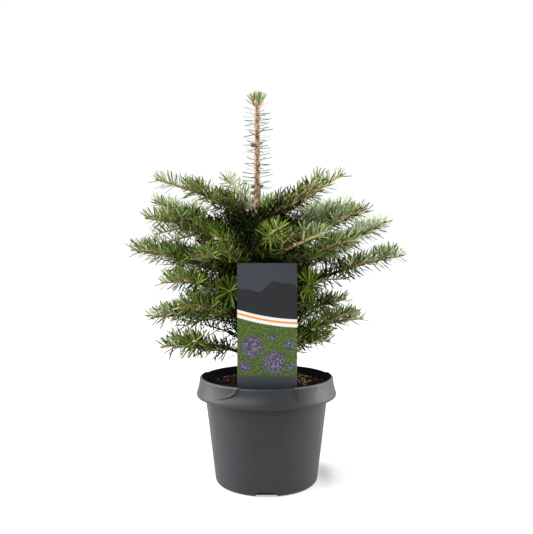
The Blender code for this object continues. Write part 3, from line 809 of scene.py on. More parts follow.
def inner_shoots(space):
    """Short shoots on the trunk that fill the inside of the crown, each with its nearest branch."""
    rng = random.Random(f"inner shoots, {SEED}")
    owner = len(BRANCHES) + 1
    shoots = []
    for index in range(INNER_COUNT):
        height = INNER_FROM + (INNER_TO - INNER_FROM) * (index + rng.random()) / INNER_COUNT
        angle = GOLDEN_ANGLE * index
        away = Vector((math.cos(angle), math.sin(angle), rng.uniform(*INNER_SLOPE))).normalized()
        inside = trunk_radius(height)
        root = trunk_point(height) + away * (inside + FINE_GAP)
        length = rng.uniform(*INNER_LENGTH)
        line = free_line(root, away, length, owner, space, FINE_GAP, FINE_SHORTEST)
        if line is None:
            continue
        space.add(line, owner)
        line[0] = trunk_point(height)
        branch = min(BRANCHES, key=lambda item: abs(item.height - height))
        shoots.append(Shoot(branch, INNER, bowed(line, TIP_BOW), *FINE_WOOD, inside, 1.0))
    return shoots


def ring_quads(rings, sides):
    """Quads of a closed tube of rings, and the quads of its two ends."""
    near = np.arange(sides)
    far = (near + 1) % sides
    rows = np.arange(rings - 1)[:, None] * sides
    wall = np.stack([rows + near, rows + far, rows + sides + far, rows + sides + near], axis=-1)
    fan = [(0, 2 * step - 1, 2 * step, 2 * step + 1) for step in range(1, sides // 2)]
    end = np.array(fan)
    return wall.reshape(-1, 4), end[:, ::-1], end + (rings - 1) * sides


def tube(line, radii, sides):
    """Vertices and quads of a closed tube round a line. Radii are one for each point, or one for
    each point and side."""
    line = np.asarray(line, float)
    ahead = unit(np.gradient(line, axis=0))
    upright = abs(ahead[:, 2]).mean() > 0.9
    level = np.array((0.0, 1.0, 0.0) if upright else (0.0, 0.0, 1.0))
    across = unit(np.cross(level, ahead))
    above = np.cross(ahead, across)
    angles = 2.0 * math.pi * np.arange(sides) / sides
    radii = np.asarray(radii, float)
    radii = radii[:, None] * np.ones(sides) if radii.ndim == 1 else radii
    spokes = across[:, None] * np.cos(angles)[:, None] + above[:, None] * np.sin(angles)[:, None]
    points = line[:, None] + spokes * radii[..., None]
    wall, foot, tip = ring_quads(len(line), sides)
    return points.reshape(-1, 3), np.concatenate([wall, foot, tip])


def placed(name, data):
    """An object of the scene that shows a mesh, a light or a camera."""
    made = bpy.data.objects.new(name, data)
    bpy.context.scene.collection.objects.link(made)
    return made


def shaped(name, bm, *finishes):
    """A bmesh as an object, with its faces turned outwards."""
    bmesh.ops.recalc_face_normals(bm, faces=bm.faces)
    mesh = bpy.data.meshes.new(name)
    bm.to_mesh(mesh)
    bm.free()
    for finish in finishes:
        mesh.materials.append(finish)
    return placed(name, mesh)


class Gather:
    """Many small closed shapes, joined into one mesh."""

    def __init__(self):
        self.points = []
        self.quads = []
        self.slots = []
        self.count = 0

    def add(self, points, quads, slots):
        """Take in a shape, with its material slot for each quad or for all."""
        self.points.append(points)
        self.quads.append(quads + self.count)
        self.slots.append(np.broadcast_to(slots, len(quads)))
        self.count += len(points)

    def piece(self, name, finishes, smooth=True):
        """The joined mesh as an object."""
        points = np.concatenate(self.points)
        quads = np.concatenate(self.quads)
        mesh = bpy.data.meshes.new(name)
        mesh.vertices.add(len(points))
        mesh.vertices.foreach_set("co", points.astype(np.float32).ravel())
        mesh.loops.add(quads.size)
        mesh.loops.foreach_set("vertex_index", quads.astype(np.int32).ravel())
        mesh.polygons.add(len(quads))
        mesh.polygons.foreach_set("loop_start", np.arange(0, quads.size, 4, dtype=np.int32))
        mesh.polygons.foreach_set("material_index", np.concatenate(self.slots).astype(np.int32))
        mesh.polygons.foreach_set("use_smooth", np.full(len(quads), smooth))
        mesh.update(calc_edges=True)
        for finish in finishes:
            mesh.materials.append(finish)
        return placed(name, mesh)


def dress(made, slot, *nodes):
    """Ride the piece on the plant's body, and let it stand for the solids."""
    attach(made, "root")
    if nodes:
        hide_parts(*nodes)


def plain(name, colour, roughness, specular=0.5):
    """A plain material, with its values set on the shader's own sockets."""
    made = bpy.data.materials.new(name)
    made.use_nodes = True
    shader = made.node_tree.nodes["Principled BSDF"]
    shader.inputs["Base Color"].default_value = (*colour, 1.0)
    shader.inputs["Roughness"].default_value = roughness
    shader.inputs["Specular IOR Level"].default_value = specular
    return made


class Weave:
    """A short hand for the nodes of one material."""

    def __init__(self, name, colour, roughness, specular):
        self.material = plain(name, colour, roughness, specular)
        self.tree = self.material.node_tree
        self.shader = self.tree.nodes["Principled BSDF"]
        self.place = self.node("ShaderNodeTexCoord").outputs["Object"]

    def node(self, kind, **values):
        """A new node, with values on its sockets."""
        made = self.tree.nodes.new(kind)
        for name, value in values.items():
            made.inputs[name].default_value = value
        return made

    def link(self, source, target):
        """Join an output to an input."""
        self.tree.links.new(source, target)

    def axes(self):
        """The object's own X, Y and Z."""
        node = self.node("ShaderNodeSeparateXYZ")
        self.link(self.place, node.inputs["Vector"])
        return [node.outputs[axis] for axis in "XYZ"]

    def stretched(self, scale):
        """The object's own coordinates, scaled along each axis."""
        node = self.node("ShaderNodeMapping", Scale=scale)
        self.link(self.place, node.inputs["Vector"])
        return node.outputs["Vector"]

    def noise(self, scale, detail, rough, vector=None):
        """Fractal noise, as a value."""
        node = self.node("ShaderNodeTexNoise", Scale=scale, Detail=detail, Roughness=rough)
        self.link(self.place if vector is None else vector, node.inputs["Vector"])
        return node.outputs["Fac"]

    def cells(self, scale, vector=None):
        """Distance to the middle of the nearest cell."""
        node = self.node("ShaderNodeTexVoronoi", Scale=scale)
        self.link(self.place if vector is None else vector, node.inputs["Vector"])
        return node.outputs["Distance"]

    def shades(self, value, base, *stops):
        """Shades of a colour along a value: pairs of a place and a factor."""
        node = self.node("ShaderNodeValToRGB")
        bar = node.color_ramp.elements
        for index, (where, factor) in enumerate(stops):
            stop = bar[index] if index < 2 else bar.new(where)
            stop.position = where
            stop.color = (*shaded(base, factor), 1.0)
        self.link(value, node.inputs["Fac"])
        return node.outputs["Color"]

    def mix(self, share, first, second):
        """Mix two colours, each a tuple or an output, by a share."""
        node = self.node("ShaderNodeMix")
        node.data_type = "RGBA"
        self.link(share, node.inputs["Factor"])
        for socket, colour in (("A", first), ("B", second)):
            target = [item for item in node.inputs if item.name == socket and item.type == "RGBA"][0]
            if isinstance(colour, tuple):
                target.default_value = (*colour, 1.0)
            else:
                self.link(colour, target)
        return [item for item in node.outputs if item.type == "RGBA"][0]

    def math(self, operation, first, second=0.0):
        """A Math node on values or outputs."""
        node = self.node("ShaderNodeMath")
        node.operation = operation
        for socket, value in zip(node.inputs, (first, second)):
            if isinstance(value, (int, float)):
                socket.default_value = value
            else:
                self.link(value, socket)
        return node.outputs["Value"]

    def times(self, first, second):
        """The product of two values."""
        return self.math("MULTIPLY", first, second)

    def plus(self, first, second):
        """The sum of two values."""
        return self.math("ADD", first, second)

    def minus(self, first, second):
        """The difference of two values."""
        return self.math("SUBTRACT", first, second)

    def spread(self, value, low, high, to_low=0.0, to_high=1.0):
        """Map a range of a value to another, clamped and smooth."""
        node = self.node("ShaderNodeMapRange")
        node.interpolation_type = "SMOOTHSTEP"
        for socket, number in zip(list(node.inputs)[1:5], (low, high, to_low, to_high)):
            socket.default_value = number
        self.link(value, node.inputs["Value"])
        return node.outputs["Result"]

    def colour(self, source):
        """Paint the surface."""
        self.link(source, self.shader.inputs["Base Color"])

    def roughness(self, source):
        """Vary the roughness."""
        self.link(source, self.shader.inputs["Roughness"])

    def bump(self, source, depth):
        """Raise the surface by a value times a depth."""
        node = self.node("ShaderNodeBump", Strength=1.0, Distance=depth)
        self.link(source, node.inputs["Height"])
        self.link(node.outputs["Normal"], self.shader.inputs["Normal"])


def shaded(colour, factor):
    """A colour made lighter or darker."""
    return tuple(min(1.0, part * factor) for part in colour)


def bark_finish():
    """Grey brown bark, with paler lenticels and darker cracks, that turns pinkish tan and scarred
    from the top whorl up."""
    old, young = tuple(settings().wood.bark), tuple(settings().wood.leader)
    weave = Weave("Fir bark", old, 0.85, 0.2)
    mottle = weave.noise(95.0, 6.0, 0.62)
    tone = weave.shades(mottle, old, (0.30, 0.45), (0.52, 1.0), (0.72, 1.75))
    lenticels = weave.cells(150.0, weave.stretched((1.0, 1.0, 2.4)))
    spots = weave.spread(lenticels, 0.10, 0.24, 1.0, 0.0)
    tone = weave.mix(weave.times(spots, 0.55), tone, shaded(old, 2.3))
    flecks = weave.noise(260.0, 4.0, 0.7, weave.stretched((1.0, 1.0, 0.85)))
    fresh = weave.shades(flecks, young, (0.38, 0.30), (0.50, 1.0), (0.60, 1.7))
    scars = weave.cells(175.0, weave.stretched((1.0, 1.0, 0.9)))
    scars = weave.spread(scars, 0.18, 0.36, 1.0, 0.0)
    fresh = weave.mix(weave.times(scars, 0.85), fresh, shaded(young, 0.16))
    weave.colour(weave.mix(weave.spread(weave.axes()[2], *BARK_CHANGE), tone, fresh))
    weave.roughness(weave.spread(mottle, 0.3, 0.7, 0.92, 0.70))
    grain = weave.noise(420.0, 5.0, 0.6, weave.stretched((1.0, 1.0, 0.45)))
    weave.bump(weave.minus(grain, weave.times(scars, 0.6)), 0.0009)
    return weave.material


def leader_spots():
    """Heights and outward directions of the leader's needles, in a spiral."""
    rng = np.random.default_rng(SEED)
    number = int((LEADER_WOOD_TOP - TRUNK_TOP - LEADER_BARE) / LEADER_SPACING)
    heights = TRUNK_TOP + LEADER_BARE + LEADER_SPACING * np.arange(number)
    heights += rng.uniform(-LEADER_JITTER, LEADER_JITTER, number)
    angles = GOLDEN_ANGLE * np.arange(number)
    return heights, np.stack([np.cos(angles), np.sin(angles), np.zeros(number)], axis=1)


def stem_radius(height):
    """Radius of the trunk, and of the leader above it."""
    if height < TRUNK_TOP:
        return trunk_radius(max(height, TRUNK_FOOT))
    share = (height - TRUNK_TOP) / (LEADER_WOOD_TOP - TRUNK_TOP)
    return LEADER_RADIUS + (LEADER_TIP_RADIUS - LEADER_RADIUS) * share


class FIR_OT_trunk(bpy.types.Operator):
    """The trunk and leader, with root flare, whorl swellings, leaf cushions and bark relief"""

    bl_idname = "fir.trunk"
    bl_label = "Trunk"

    def execute(self, context):
        line = trunk_points(np.linspace(TRUNK_FOOT - TRUNK_SUNK, LEADER_WOOD_TOP, BARK_RINGS))
        angles = 2.0 * math.pi * np.arange(BARK_SIDES) / BARK_SIDES
        radii = np.zeros((BARK_RINGS, BARK_SIDES))
        for row, point in enumerate(line):
            base = stem_radius(point[2])
            flare = ROOT_FLARE * math.exp((TRUNK_FOOT - point[2]) / ROOT_FLARE_HEIGHT)
            for column, angle in enumerate(angles):
                spot = Vector((math.cos(angle) * base, math.sin(angle) * base, point[2]))
                relief = BARK_RELIEF * noise.fractal(spot * Vector(BARK_GRAIN), *BARK_FRACTAL)
                buttress = BUTTRESS_SHARE * flare * math.cos(BUTTRESSES * angle + BUTTRESS_TURN)
                radii[row, column] = base + relief + buttress
        swells = [(branch.height, *WHORL_SWELL) for branch in BRANCHES]
        for height, size, length in swells + [(TRUNK_TOP, *TOP_SWELL)]:
            near = np.exp(-((line[:, 2] - height) / length) ** 2)
            radii += size * near[:, None]
        radii[-1] *= BARK_END
        points, quads = tube(line, radii, BARK_SIDES)
        rings = points.reshape(BARK_RINGS, BARK_SIDES, 3)
        spokes = unit(rings - line[:, None])
        heights, out = leader_spots()
        size, width = CUSHION
        for root in trunk_points(heights) + out * LEADER_RADIUS:
            near = np.linalg.norm(rings - root, axis=2)
            rings = rings + spokes * (size * np.exp(-(near / width) ** 2))[..., None]
        gather = Gather()
        gather.add(rings.reshape(-1, 3), quads, 0)
        dress(gather.piece("trunk_bark", [bark_finish()]), "bark", "trunk")
        return {"FINISHED"}


def wood_radius(shoot, shares):
    """Radius along a shoot's wood."""
    return shoot.foot_radius + (shoot.tip_radius - shoot.foot_radius) * shares


class FIR_OT_boughs(bpy.types.Operator):
    """The boughs from the trunk to where their twigs start, with collars and bark relief"""

    bl_idname = "fir.boughs"
    bl_label = "Boughs"

    def execute(self, context):
        gather = Gather()
        nodes = []
        turns = 2.0 * math.pi * np.arange(BOUGH_SIDES) / BOUGH_SIDES
        spokes = [Vector((math.cos(turn), math.sin(turn), 0.0)) for turn in turns]
        for shoot in grow():
            if shoot.order != STEM:
                continue
            branch = shoot.branch
            if branch.bare > 0.0:
                nodes.append(f"bough_{branch.name}")
            stop = max(branch.bare, BOUGH_SHORTEST) / branch.reach
            line = as_array(branch_line(branch, 0.0, stop, BOUGH_RING))
            lengths = np.linalg.norm(line - line[0], axis=1) - trunk_radius(branch.height)
            radii = wood_radius(shoot, np.linspace(0.0, stop, len(line)))
            radii += COLLAR_RADIUS * np.exp(-np.clip(lengths, 0.0, None) / COLLAR_LENGTH)
            relief = [
                [noise.fractal(Vector(point) * BOUGH_GRAIN + spoke, *BOUGH_FRACTAL) for spoke in spokes]
                for point in line]
            gather.add(*tube(line, radii[:, None] + BOUGH_RELIEF * np.array(relief), BOUGH_SIDES), 0)
        dress(gather.piece("bough_bark", [bark_finish()]), "bark", *nodes)
        return {"FINISHED"}


class FIR_OT_twigs(bpy.types.Operator):
    """The twigs of every mass, brown where they are old and golden where they are young"""

    bl_idname = "fir.twigs"
    bl_label = "Twigs"

    def execute(self, context):
        wood = settings().wood
        old, young = tuple(wood.old), tuple(wood.young)
        finishes = [
            plain("Old twig", old, 0.85, 0.3),
            plain("Brown twig", tuple((4 * a + b) / 5 for a, b in zip(old, young)), 0.8, 0.3),
            plain("Tan twig", tuple((a + b) / 2 for a, b in zip(old, young)), 0.75, 0.3),
            plain("Golden twig", young, 0.7, 0.35),
        ]
        gather = Gather()
        rng = np.random.default_rng(SEED)
        for shoot in grow():
            total = along(shoot.line, np.zeros(1))[2]
            distances = np.linspace(0.0, total, steps_of(total, TWIG_RING) + 1)
            line = along(shoot.line, distances)[0]
            shares = distances / total
            radii = wood_radius(shoot, shares) * rng.uniform(*TWIG_UNEVEN, len(line))
            radii[-1] *= TWIG_END
            points, quads = tube(line, radii, TWIG_SIDES)
            age = np.where(shares[:-1] < shoot.old_share, 1, 2)
            age = np.where(shares[:-1] < 0.5 * shoot.old_share, 0, age)
            golden = shoot.branch.name in GOLDEN_BRANCHES and shoot.order < INNER
            younger = rng.random(len(age)) < YOUNGER_CHANCE
            slot = np.clip(age + golden - (shoot.order == INNER) + younger, 0, 2 + golden)
            # Painted shade: near the trunk, twigs that aren't golden keep to the two darkest browns.
            far = np.hypot(line[:-1, 0] + TRUNK_OFFSET, line[:-1, 1]) > SHADE_RADIUS[0]
            slot = np.where(far | golden, slot, np.minimum(slot, 1))
            walls = np.repeat(slot, TWIG_SIDES)
            ends = np.full(len(quads) - len(walls), slot[-1])
            gather.add(points, quads, np.concatenate([walls, ends]))
        dress(gather.piece("twigs", finishes), "bark")
        return {"FINISHED"}


def along(line, distances):
    """Points and directions at distances along a line."""
    steps = np.linalg.norm(np.diff(line, axis=0), axis=1)
    travelled = np.concatenate([[0.0], np.cumsum(steps)])
    ahead = unit(np.gradient(line, axis=0))
    points = np.stack([np.interp(distances, travelled, line[:, axis]) for axis in range(3)], axis=1)
    directions = np.stack([np.interp(distances, travelled, ahead[:, axis]) for axis in range(3)], axis=1)
    return points, unit(directions), travelled[-1]


def keeps_clear(roots, tips):
    """True for each needle that stays off the label, the pot, the soil and the trunk."""
    clear = np.ones(len(roots), bool)
    crossing = (roots[:, 1] - LABEL_Y) * (tips[:, 1] - LABEL_Y) < 0.0
    for share in (0.5, 1.0):
        x, y, z = (roots + (tips - roots) * share).T
        at_card = (abs(x - LABEL_X) < LABEL_WIDTH / 2 + CARD_ROOM) & (z < LABEL_TOP + CARD_ROOM)
        near_card = at_card & (crossing | (abs(y - LABEL_Y) < CARD_FACE_ROOM))
        from_axis = np.hypot(x, y)
        in_pot = (z < POT_HEIGHT + RIM_ROOM) & (from_axis > RIM_INSIDE) & (from_axis < RIM_OUTSIDE)
        in_soil = z < SOIL_TOP + SOIL_ROOM
        lean = np.clip((TRUNK_TOP - z) / (TRUNK_TOP - TRUNK_FOOT), 0.0, 1.0)
        from_trunk = np.hypot(x + TRUNK_OFFSET * (1.0 - lean ** 2), y)
        in_trunk = (from_trunk < TRUNK_ROOM) & (z < LEADER_TOP)
        clear &= ~(near_card | in_pot | in_soil | in_trunk)
    return clear


# Needles as arrays: roots, directions, tops, lengths, widths, and the slots of both sides
Needles = namedtuple("Needles", "root aim top length width upper under")


def needles_on(shoot, rng):
    """The needles of one shoot, set in a spiral and swept towards its tip and upwards."""
    look = settings().needles
    end_on = shoot.order == FORWARD
    total = along(shoot.line, np.zeros(1))[2]
    spacing = look.spacing * SPACING_BY_ORDER[shoot.order]
    spacing *= LOW_SPACING if shoot.branch.height < LOW_WHORL else 1.0
    count = max(0, int((total - shoot.needles_from) / spacing))
    steps = np.arange(count) + rng.uniform(0.0, STEP_JITTER, count)
    distances = shoot.needles_from + steps * spacing
    points, ahead, total = along(shoot.line, distances)
    across = unit(np.cross((0.0, 0.0, 1.0), ahead))
    above = np.cross(ahead, across)
    angles = GOLDEN_ANGLE * np.arange(count) + rng.uniform(0.0, 2.0 * math.pi)
    angles += rng.normal(0.0, ANGLE_JITTER, count)
    out = across * np.cos(angles)[:, None] + above * np.sin(angles)[:, None]
    shares = distances / total
    to_tip = np.clip((total - distances) / look.length, 0.0, 1.0)
    lean_at_tip = FORWARD_LEAN if end_on else LEAN_AT_TIP
    lean = lean_at_tip + (LEAN_AT_FOOT - lean_at_tip) * to_tip + rng.normal(0.0, LEAN_JITTER, count)
    aim = out * np.cos(lean)[:, None] + ahead * np.sin(lean)[:, None]
    lift = (UP_LIFT + SIDE_LIFT * (1.0 - abs(out[:, 2]))) * rng.uniform(*LIFT_SPREAD, count)
    aim[:, 2] += 0.0 if end_on else lift
    aim = unit(aim)
    steep = abs(aim[:, 2:3])
    skyward = np.array((0.0, 0.0, 1.0)) - aim * aim[:, 2:3]
    tipward = ahead - aim * (ahead * aim).sum(1)[:, None]
    top = unit(skyward * (1.0 - steep) + tipward * (FORWARD_TOP + (1.0 - FORWARD_TOP) * steep) + 1e-6)
    top = twisted(top, aim, rng.normal(0.0, TWIST_JITTER, count))
    if end_on:
        size = FORWARD_NEEDLES
    else:
        size = TIP_NEEDLES + (1.0 - TIP_NEEDLES) * to_tip
        size *= FINE_NEEDLES if shoot.order == FINE else 1.0
    length = look.length * size * rng.uniform(*LENGTH_SPREAD, count)
    width = look.width * rng.uniform(*WIDTH_SPREAD, count)
    root = points + out * (wood_radius(shoot, shares)[:, None] * ROOT_SUNK)
    keep = keeps_clear(root, root + aim * length[:, None])
    keep &= (out[:, 2] > BELOW) | (rng.random(count) < BELOW_KEPT) | end_on
    upper, under = tones(shoot, points, out, to_tip, rng)
    return Needles(*(item[keep] for item in (root, aim, top, length, width, upper, under)))


def tones(shoot, points, out, to_tip, rng):
    """The colours of a shoot's needles, dealt out by spray, with painted shade: near-black near the trunk
    and in hollows, deep low down and below a shoot, and brighter or paler further out, by the branch."""
    count = len(points)
    spread = np.hypot(points[:, 0] + TRUNK_OFFSET, points[:, 1])
    pale_spray = shoot.branch.name in PALE_BRANCHES
    fresh_spray = shoot.branch.name in FRESH_BRANCHES and rng.random() < FRESH_SHARE
    spray = BRIGHT if shoot.order == FORWARD or fresh_spray else MIST if pale_spray else GREEN
    chance = rng.random(count)
    upper = np.where(chance < BRIGHT_TO, BRIGHT, DEEP)
    upper = np.where(chance < GREEN_TO, GREEN, upper)
    upper = np.where(chance < (PALE_OWN if pale_spray else OTHER_OWN), spray, upper)
    # Painted shade: needles near the trunk, low in the crown and hanging below a shoot are more often
    # deep green.
    outer = np.clip((spread - SHADE_RADIUS[1]) / CROWN_DEPTH, 0.0, 1.0)
    lit = np.clip((points[:, 2] - CROWN_FOOT) / CROWN_HEIGHT, 0.0, 1.0)
    deep = rng.random(count) > NOT_DEEP + NOT_DEEP_OUTSIDE * outer + NOT_DEEP_ABOVE * lit
    deep |= (out[:, 2] < HANGING) & (rng.random(count) < HANGING_SHARE)
    upper = np.where(deep, np.where(upper == BRIGHT, GREEN, DEEP), upper)
    frost = FROST_STEM if shoot.order == STEM else FROST_OTHER
    frost = FROST_LONE if shoot.branch.name in LONE_BRANCHES else frost
    frosted = (to_tip < FROST_TIP) & (spread > FROST_FROM) & (rng.random(count) < frost)
    upper = np.where(frosted, MIST, upper)
    silver = SILVER_SHARE + (SILVER_PALE if pale_spray else 0.0)
    silver += SILVER_OUTSIDE * np.clip(spread - SILVER_FROM, 0.0, SILVER_DEPTH) / SILVER_DEPTH
    under = np.where(rng.random(count) < silver, SILVER, PALE)
    # Painted shade: many deep needles are green below.
    under = np.where(deep & (rng.random(count) < GREEN_UNDER), GREEN, under)
    if shoot.order == FORWARD:
        return upper, np.where(under == SILVER, PALE, GREEN)
    # Painted shade: needles near the trunk, behind the front of the crown and in the hollows, and all
    # needles of inner shoots, get shade green or deep green on top and deep green below.
    reach = np.where(points[:, 0] < -TRUNK_OFFSET, *SHADE_RADIUS)
    dark = (spread < reach) & (points[:, 1] > SHADE_FRONT) & (points[:, 2] < SHADE_TOP)
    for left, right, foot, peak, front, back in HOLLOWS:
        low, high = np.array((left, front, foot)), np.array((right, back, peak))
        dark |= ((points > low) & (points < high)).all(axis=1)
    dark &= rng.random(count) < DARK_SHARE
    dark |= shoot.order == INNER
    inner = np.where(rng.random(count) < SHADE_SHARE, SHADE, DEEP)
    return np.where(dark, inner, upper), np.where(dark, DEEP, under)


def blades(needles):
    """Vertices, quads and slots of flat needles, all at once."""
    count = len(needles.root)
    stations = np.array(BLADE_STATIONS)
    side = np.cross(needles.top, needles.aim)
    bend = BLADE_BEND * needles.length
    middle = (
        needles.root[:, None]
        + needles.aim[:, None] * (needles.length[:, None] * stations)[..., None]
        + needles.top[:, None] * (bend[:, None] * stations ** 2)[..., None]
    )
    half = 0.5 * needles.width[:, None] * np.array(BLADE_WIDTHS)
    across = side[:, None] * half[..., None]
    above = needles.top[:, None] * half[..., None]
    ring = [middle + across, middle + above * BLADE_TOP, middle - across, middle - above * BLADE_KEEL]
    points = np.stack(ring, axis=2).reshape(-1, 3)
    quads = np.concatenate(ring_quads(len(stations), BLADE_SIDES))
    starts = np.arange(count) * len(stations) * BLADE_SIDES
    all_quads = (quads[None] + starts[:, None, None]).reshape(-1, 4)
    is_upper = np.array([True, True, False, False] * (len(stations) - 1) + [True, True])
    slots = np.where(is_upper[None], needles.upper[:, None], needles.under[:, None]).ravel()
    return points, all_quads, slots


def needle_finishes():
    """Plain colours of the needles: five upper sides, then two undersides."""
    look = settings().needles
    finishes = (
        ("shade", 0.60, 0.03), ("deep", 0.50, 0.06), ("green", 0.48, 0.10), ("bright", 0.50, 0.10),
        ("mist", 0.60, 0.10), ("silver", 0.65, 0.10), ("pale", 0.65, 0.10))
    return [plain(f"Needle {name}", tuple(getattr(look, name)), *rest) for name, *rest in finishes]


def joined(groups):
    """Several arrays of needles as one."""
    return Needles(*(np.concatenate(items) for items in zip(*groups)))


class FIR_OT_needles(bpy.types.Operator):
    """The needles of every shoot, joined into pieces from the top of the tree down"""

    bl_idname = "fir.needles"
    bl_label = "Needles"

    def execute(self, context):
        finishes = needle_finishes()
        groups = {}
        for index, shoot in enumerate(grow()):
            rng = np.random.default_rng((SEED, index))
            groups.setdefault(shoot.branch, []).append(needles_on(shoot, rng))
        pieces = [[]]
        size = 0
        for branch in BRANCHES:
            needles = joined(groups[branch])
            if size + len(needles.root) > NEEDLES_PER_PIECE:
                pieces.append([])
                size = 0
            size += len(needles.root)
            pieces[-1].append((branch, needles))
        for index, members in enumerate(pieces):
            gather = Gather()
            for branch, needles in members:
                gather.add(*blades(needles))
            nodes = [f"mass_{branch.name}" for branch, needles in members]
            made = gather.piece(f"needles_{index + 1}", finishes, smooth=False)
            dress(made, "needles", *nodes)
        return {"FINISHED"}


def bud_shape(place, aim, length, width):
    """An egg-shaped bud that points along aim."""
    line = np.asarray(place) + np.outer(BUD_STATIONS, unit(np.asarray(aim))) * length
    return tube(line, 0.5 * width * np.array(BUD_SWELL), TWIG_SIDES)


class FIR_OT_buds(bpy.types.Operator):
    """The winter buds at the shoot tips, some of them white with resin"""

    bl_idname = "fir.buds"
    bl_label = "Buds"

    def execute(self, context):
        wood = settings().wood
        finishes = [plain("Bud scale", tuple(wood.bud), 0.45), plain("Bud resin", tuple(wood.resin), 0.5)]
        gather = Gather()
        rng = np.random.default_rng(SEED)
        for shoot in grow():
            if shoot.order == INNER:
                continue
            tip = shoot.line[-1]
            ahead = unit(shoot.line[-1] - shoot.line[-2])
            resin = int(rng.random() < BUD_RESIN[shoot.order])
            big = BUD_SIZE[shoot.order] * (1.10 if resin else 0.9)
            gather.add(*bud_shape(tip - ahead * 0.0008, ahead, BUD_LENGTH * big, BUD_WIDTH * big), resin)
            if shoot.order == FINE:
                continue
            for side in (-1.0, 1.0):
                out = unit(np.cross(ahead, (0.0, 0.0, side)))
                aim = unit(ahead + 0.75 * out)
                place = tip - ahead * 0.001 + out * 0.0004
                gather.add(*bud_shape(place, aim, SIDE_BUD_LENGTH * big, SIDE_BUD_WIDTH * big), resin)
        dress(gather.piece("buds", finishes), "bark")
        return {"FINISHED"}


def leader_needles(rng):
    """The thin level needles up the leader, which rise towards its top."""
    heights, out = leader_spots()
    number = len(heights)
    share = (heights - TRUNK_TOP) / (LEADER_WOOD_TOP - TRUNK_TOP)
    aim = out.copy()
    aim[:, 2] = rng.uniform(-0.12, 0.22, number) + 0.8 * ease(share, 0.86, 1.0)
    aim = unit(aim)
    upright = unit(np.array((0.0, 0.0, 1.0)) - aim * aim[:, 2:3])
    top = twisted(upright, aim, rng.normal(0.0, 0.9, number))
    roots = trunk_points(heights) + out * (LEADER_RADIUS - 0.0008)
    lengths, widths = LEADER_NEEDLE
    greens = (DEEP, GREEN, MIST)
    return Needles(
        roots, aim, top, rng.uniform(*lengths, number), rng.uniform(*widths, number),
        rng.choice(greens, number), rng.choice(greens, number))


def leader_tuft(rng):
    """The tuft of needles round the buds at the leader's top."""
    turn = GOLDEN_ANGLE * np.arange(TUFT_COUNT)
    lean = 0.10 + 1.15 * rng.random(TUFT_COUNT) ** 1.6
    aim = unit(np.stack([np.cos(turn) * lean, np.sin(turn) * lean, np.ones(TUFT_COUNT)], axis=1))
    side = np.stack([np.cos(turn), np.sin(turn), np.zeros(TUFT_COUNT)], axis=1)
    inward = unit(-side + aim * (side * aim).sum(1)[:, None])
    inward = twisted(inward, aim, rng.normal(0.0, 0.6, TUFT_COUNT))
    roots = np.array(trunk_point(LEADER_WOOD_TOP)) + side * 0.0040 - (0.0, 0.0, 0.001)
    lengths, widths = TUFT_NEEDLE
    return Needles(
        roots, aim, inward, rng.uniform(*lengths, TUFT_COUNT) * (1.0 - 0.12 * lean),
        rng.uniform(*widths, TUFT_COUNT), rng.choice((GREEN, BRIGHT), TUFT_COUNT),
        np.full(TUFT_COUNT, PALE))


class FIR_OT_leader(bpy.types.Operator):
    """The leader's thin level needles, the tuft and buds at its top and the buds on its side"""

    bl_idname = "fir.leader"
    bl_label = "Leader"

    def execute(self, context):
        rng = np.random.default_rng(SEED + 1)
        gather = Gather()
        gather.add(*blades(joined([leader_needles(rng), leader_tuft(rng)])))
        dress(gather.piece("leader_needles", needle_finishes(), smooth=False), "needles", "leader")

        wood = settings().wood
        finishes = [
            plain("Leader bud", tuple(wood.resin), 0.5, 0.3),
            plain("Leader side bud", tuple(wood.bud), 0.45, 0.3),
            plain("Node bud", shaded(tuple(wood.leader), 0.75), 0.7, 0.2),
        ]
        gather = Gather()
        tip = np.array(trunk_point(LEADER_WOOD_TOP))
        gather.add(*bud_shape(tip - (0.0, 0.0, 0.001), (0.0, 0.0, 1.0), 0.0100, 0.0060), 0)
        for index in range(TOP_BUDS):
            turn = 2.0 * math.pi * (index + 0.3) / TOP_BUDS
            out = np.array((math.cos(turn), math.sin(turn), 0.0))
            place = tip + out * 0.0028 - (0.0, 0.0, 0.003)
            gather.add(*bud_shape(place, out * 1.1 + (0.0, 0.0, 1.0), 0.0092, 0.0052), 0)
        for height, turn, size in LEADER_BUDS:
            angle = math.radians(turn)
            out = np.array((math.cos(angle), math.sin(angle), 0.0))
            place = np.array(trunk_point(height)) + out * 0.0036
            shape = bud_shape(place, out + (0.0, 0.0, 0.4), 1.15 * size, size)
            gather.add(*shape, 1 if height > NODE_TOP else 2)
        dress(gather.piece("leader_buds", finishes), "bark")
        return {"FINISHED"}


def arc(centre, radius, start, stop, steps):
    """Points on an arc, angles in degrees from the outward direction."""
    angles = np.radians(np.linspace(start, stop, steps + 1))
    return [(centre[0] + radius * math.cos(a), centre[1] + radius * math.sin(a)) for a in angles]


def wall_radius(height):
    """Outer radius of the pot's wall, which tapers evenly to its base."""
    return POT_BASE_RADIUS + (POT_NECK_RADIUS - POT_BASE_RADIUS) * height / POT_SKIRT_BOTTOM


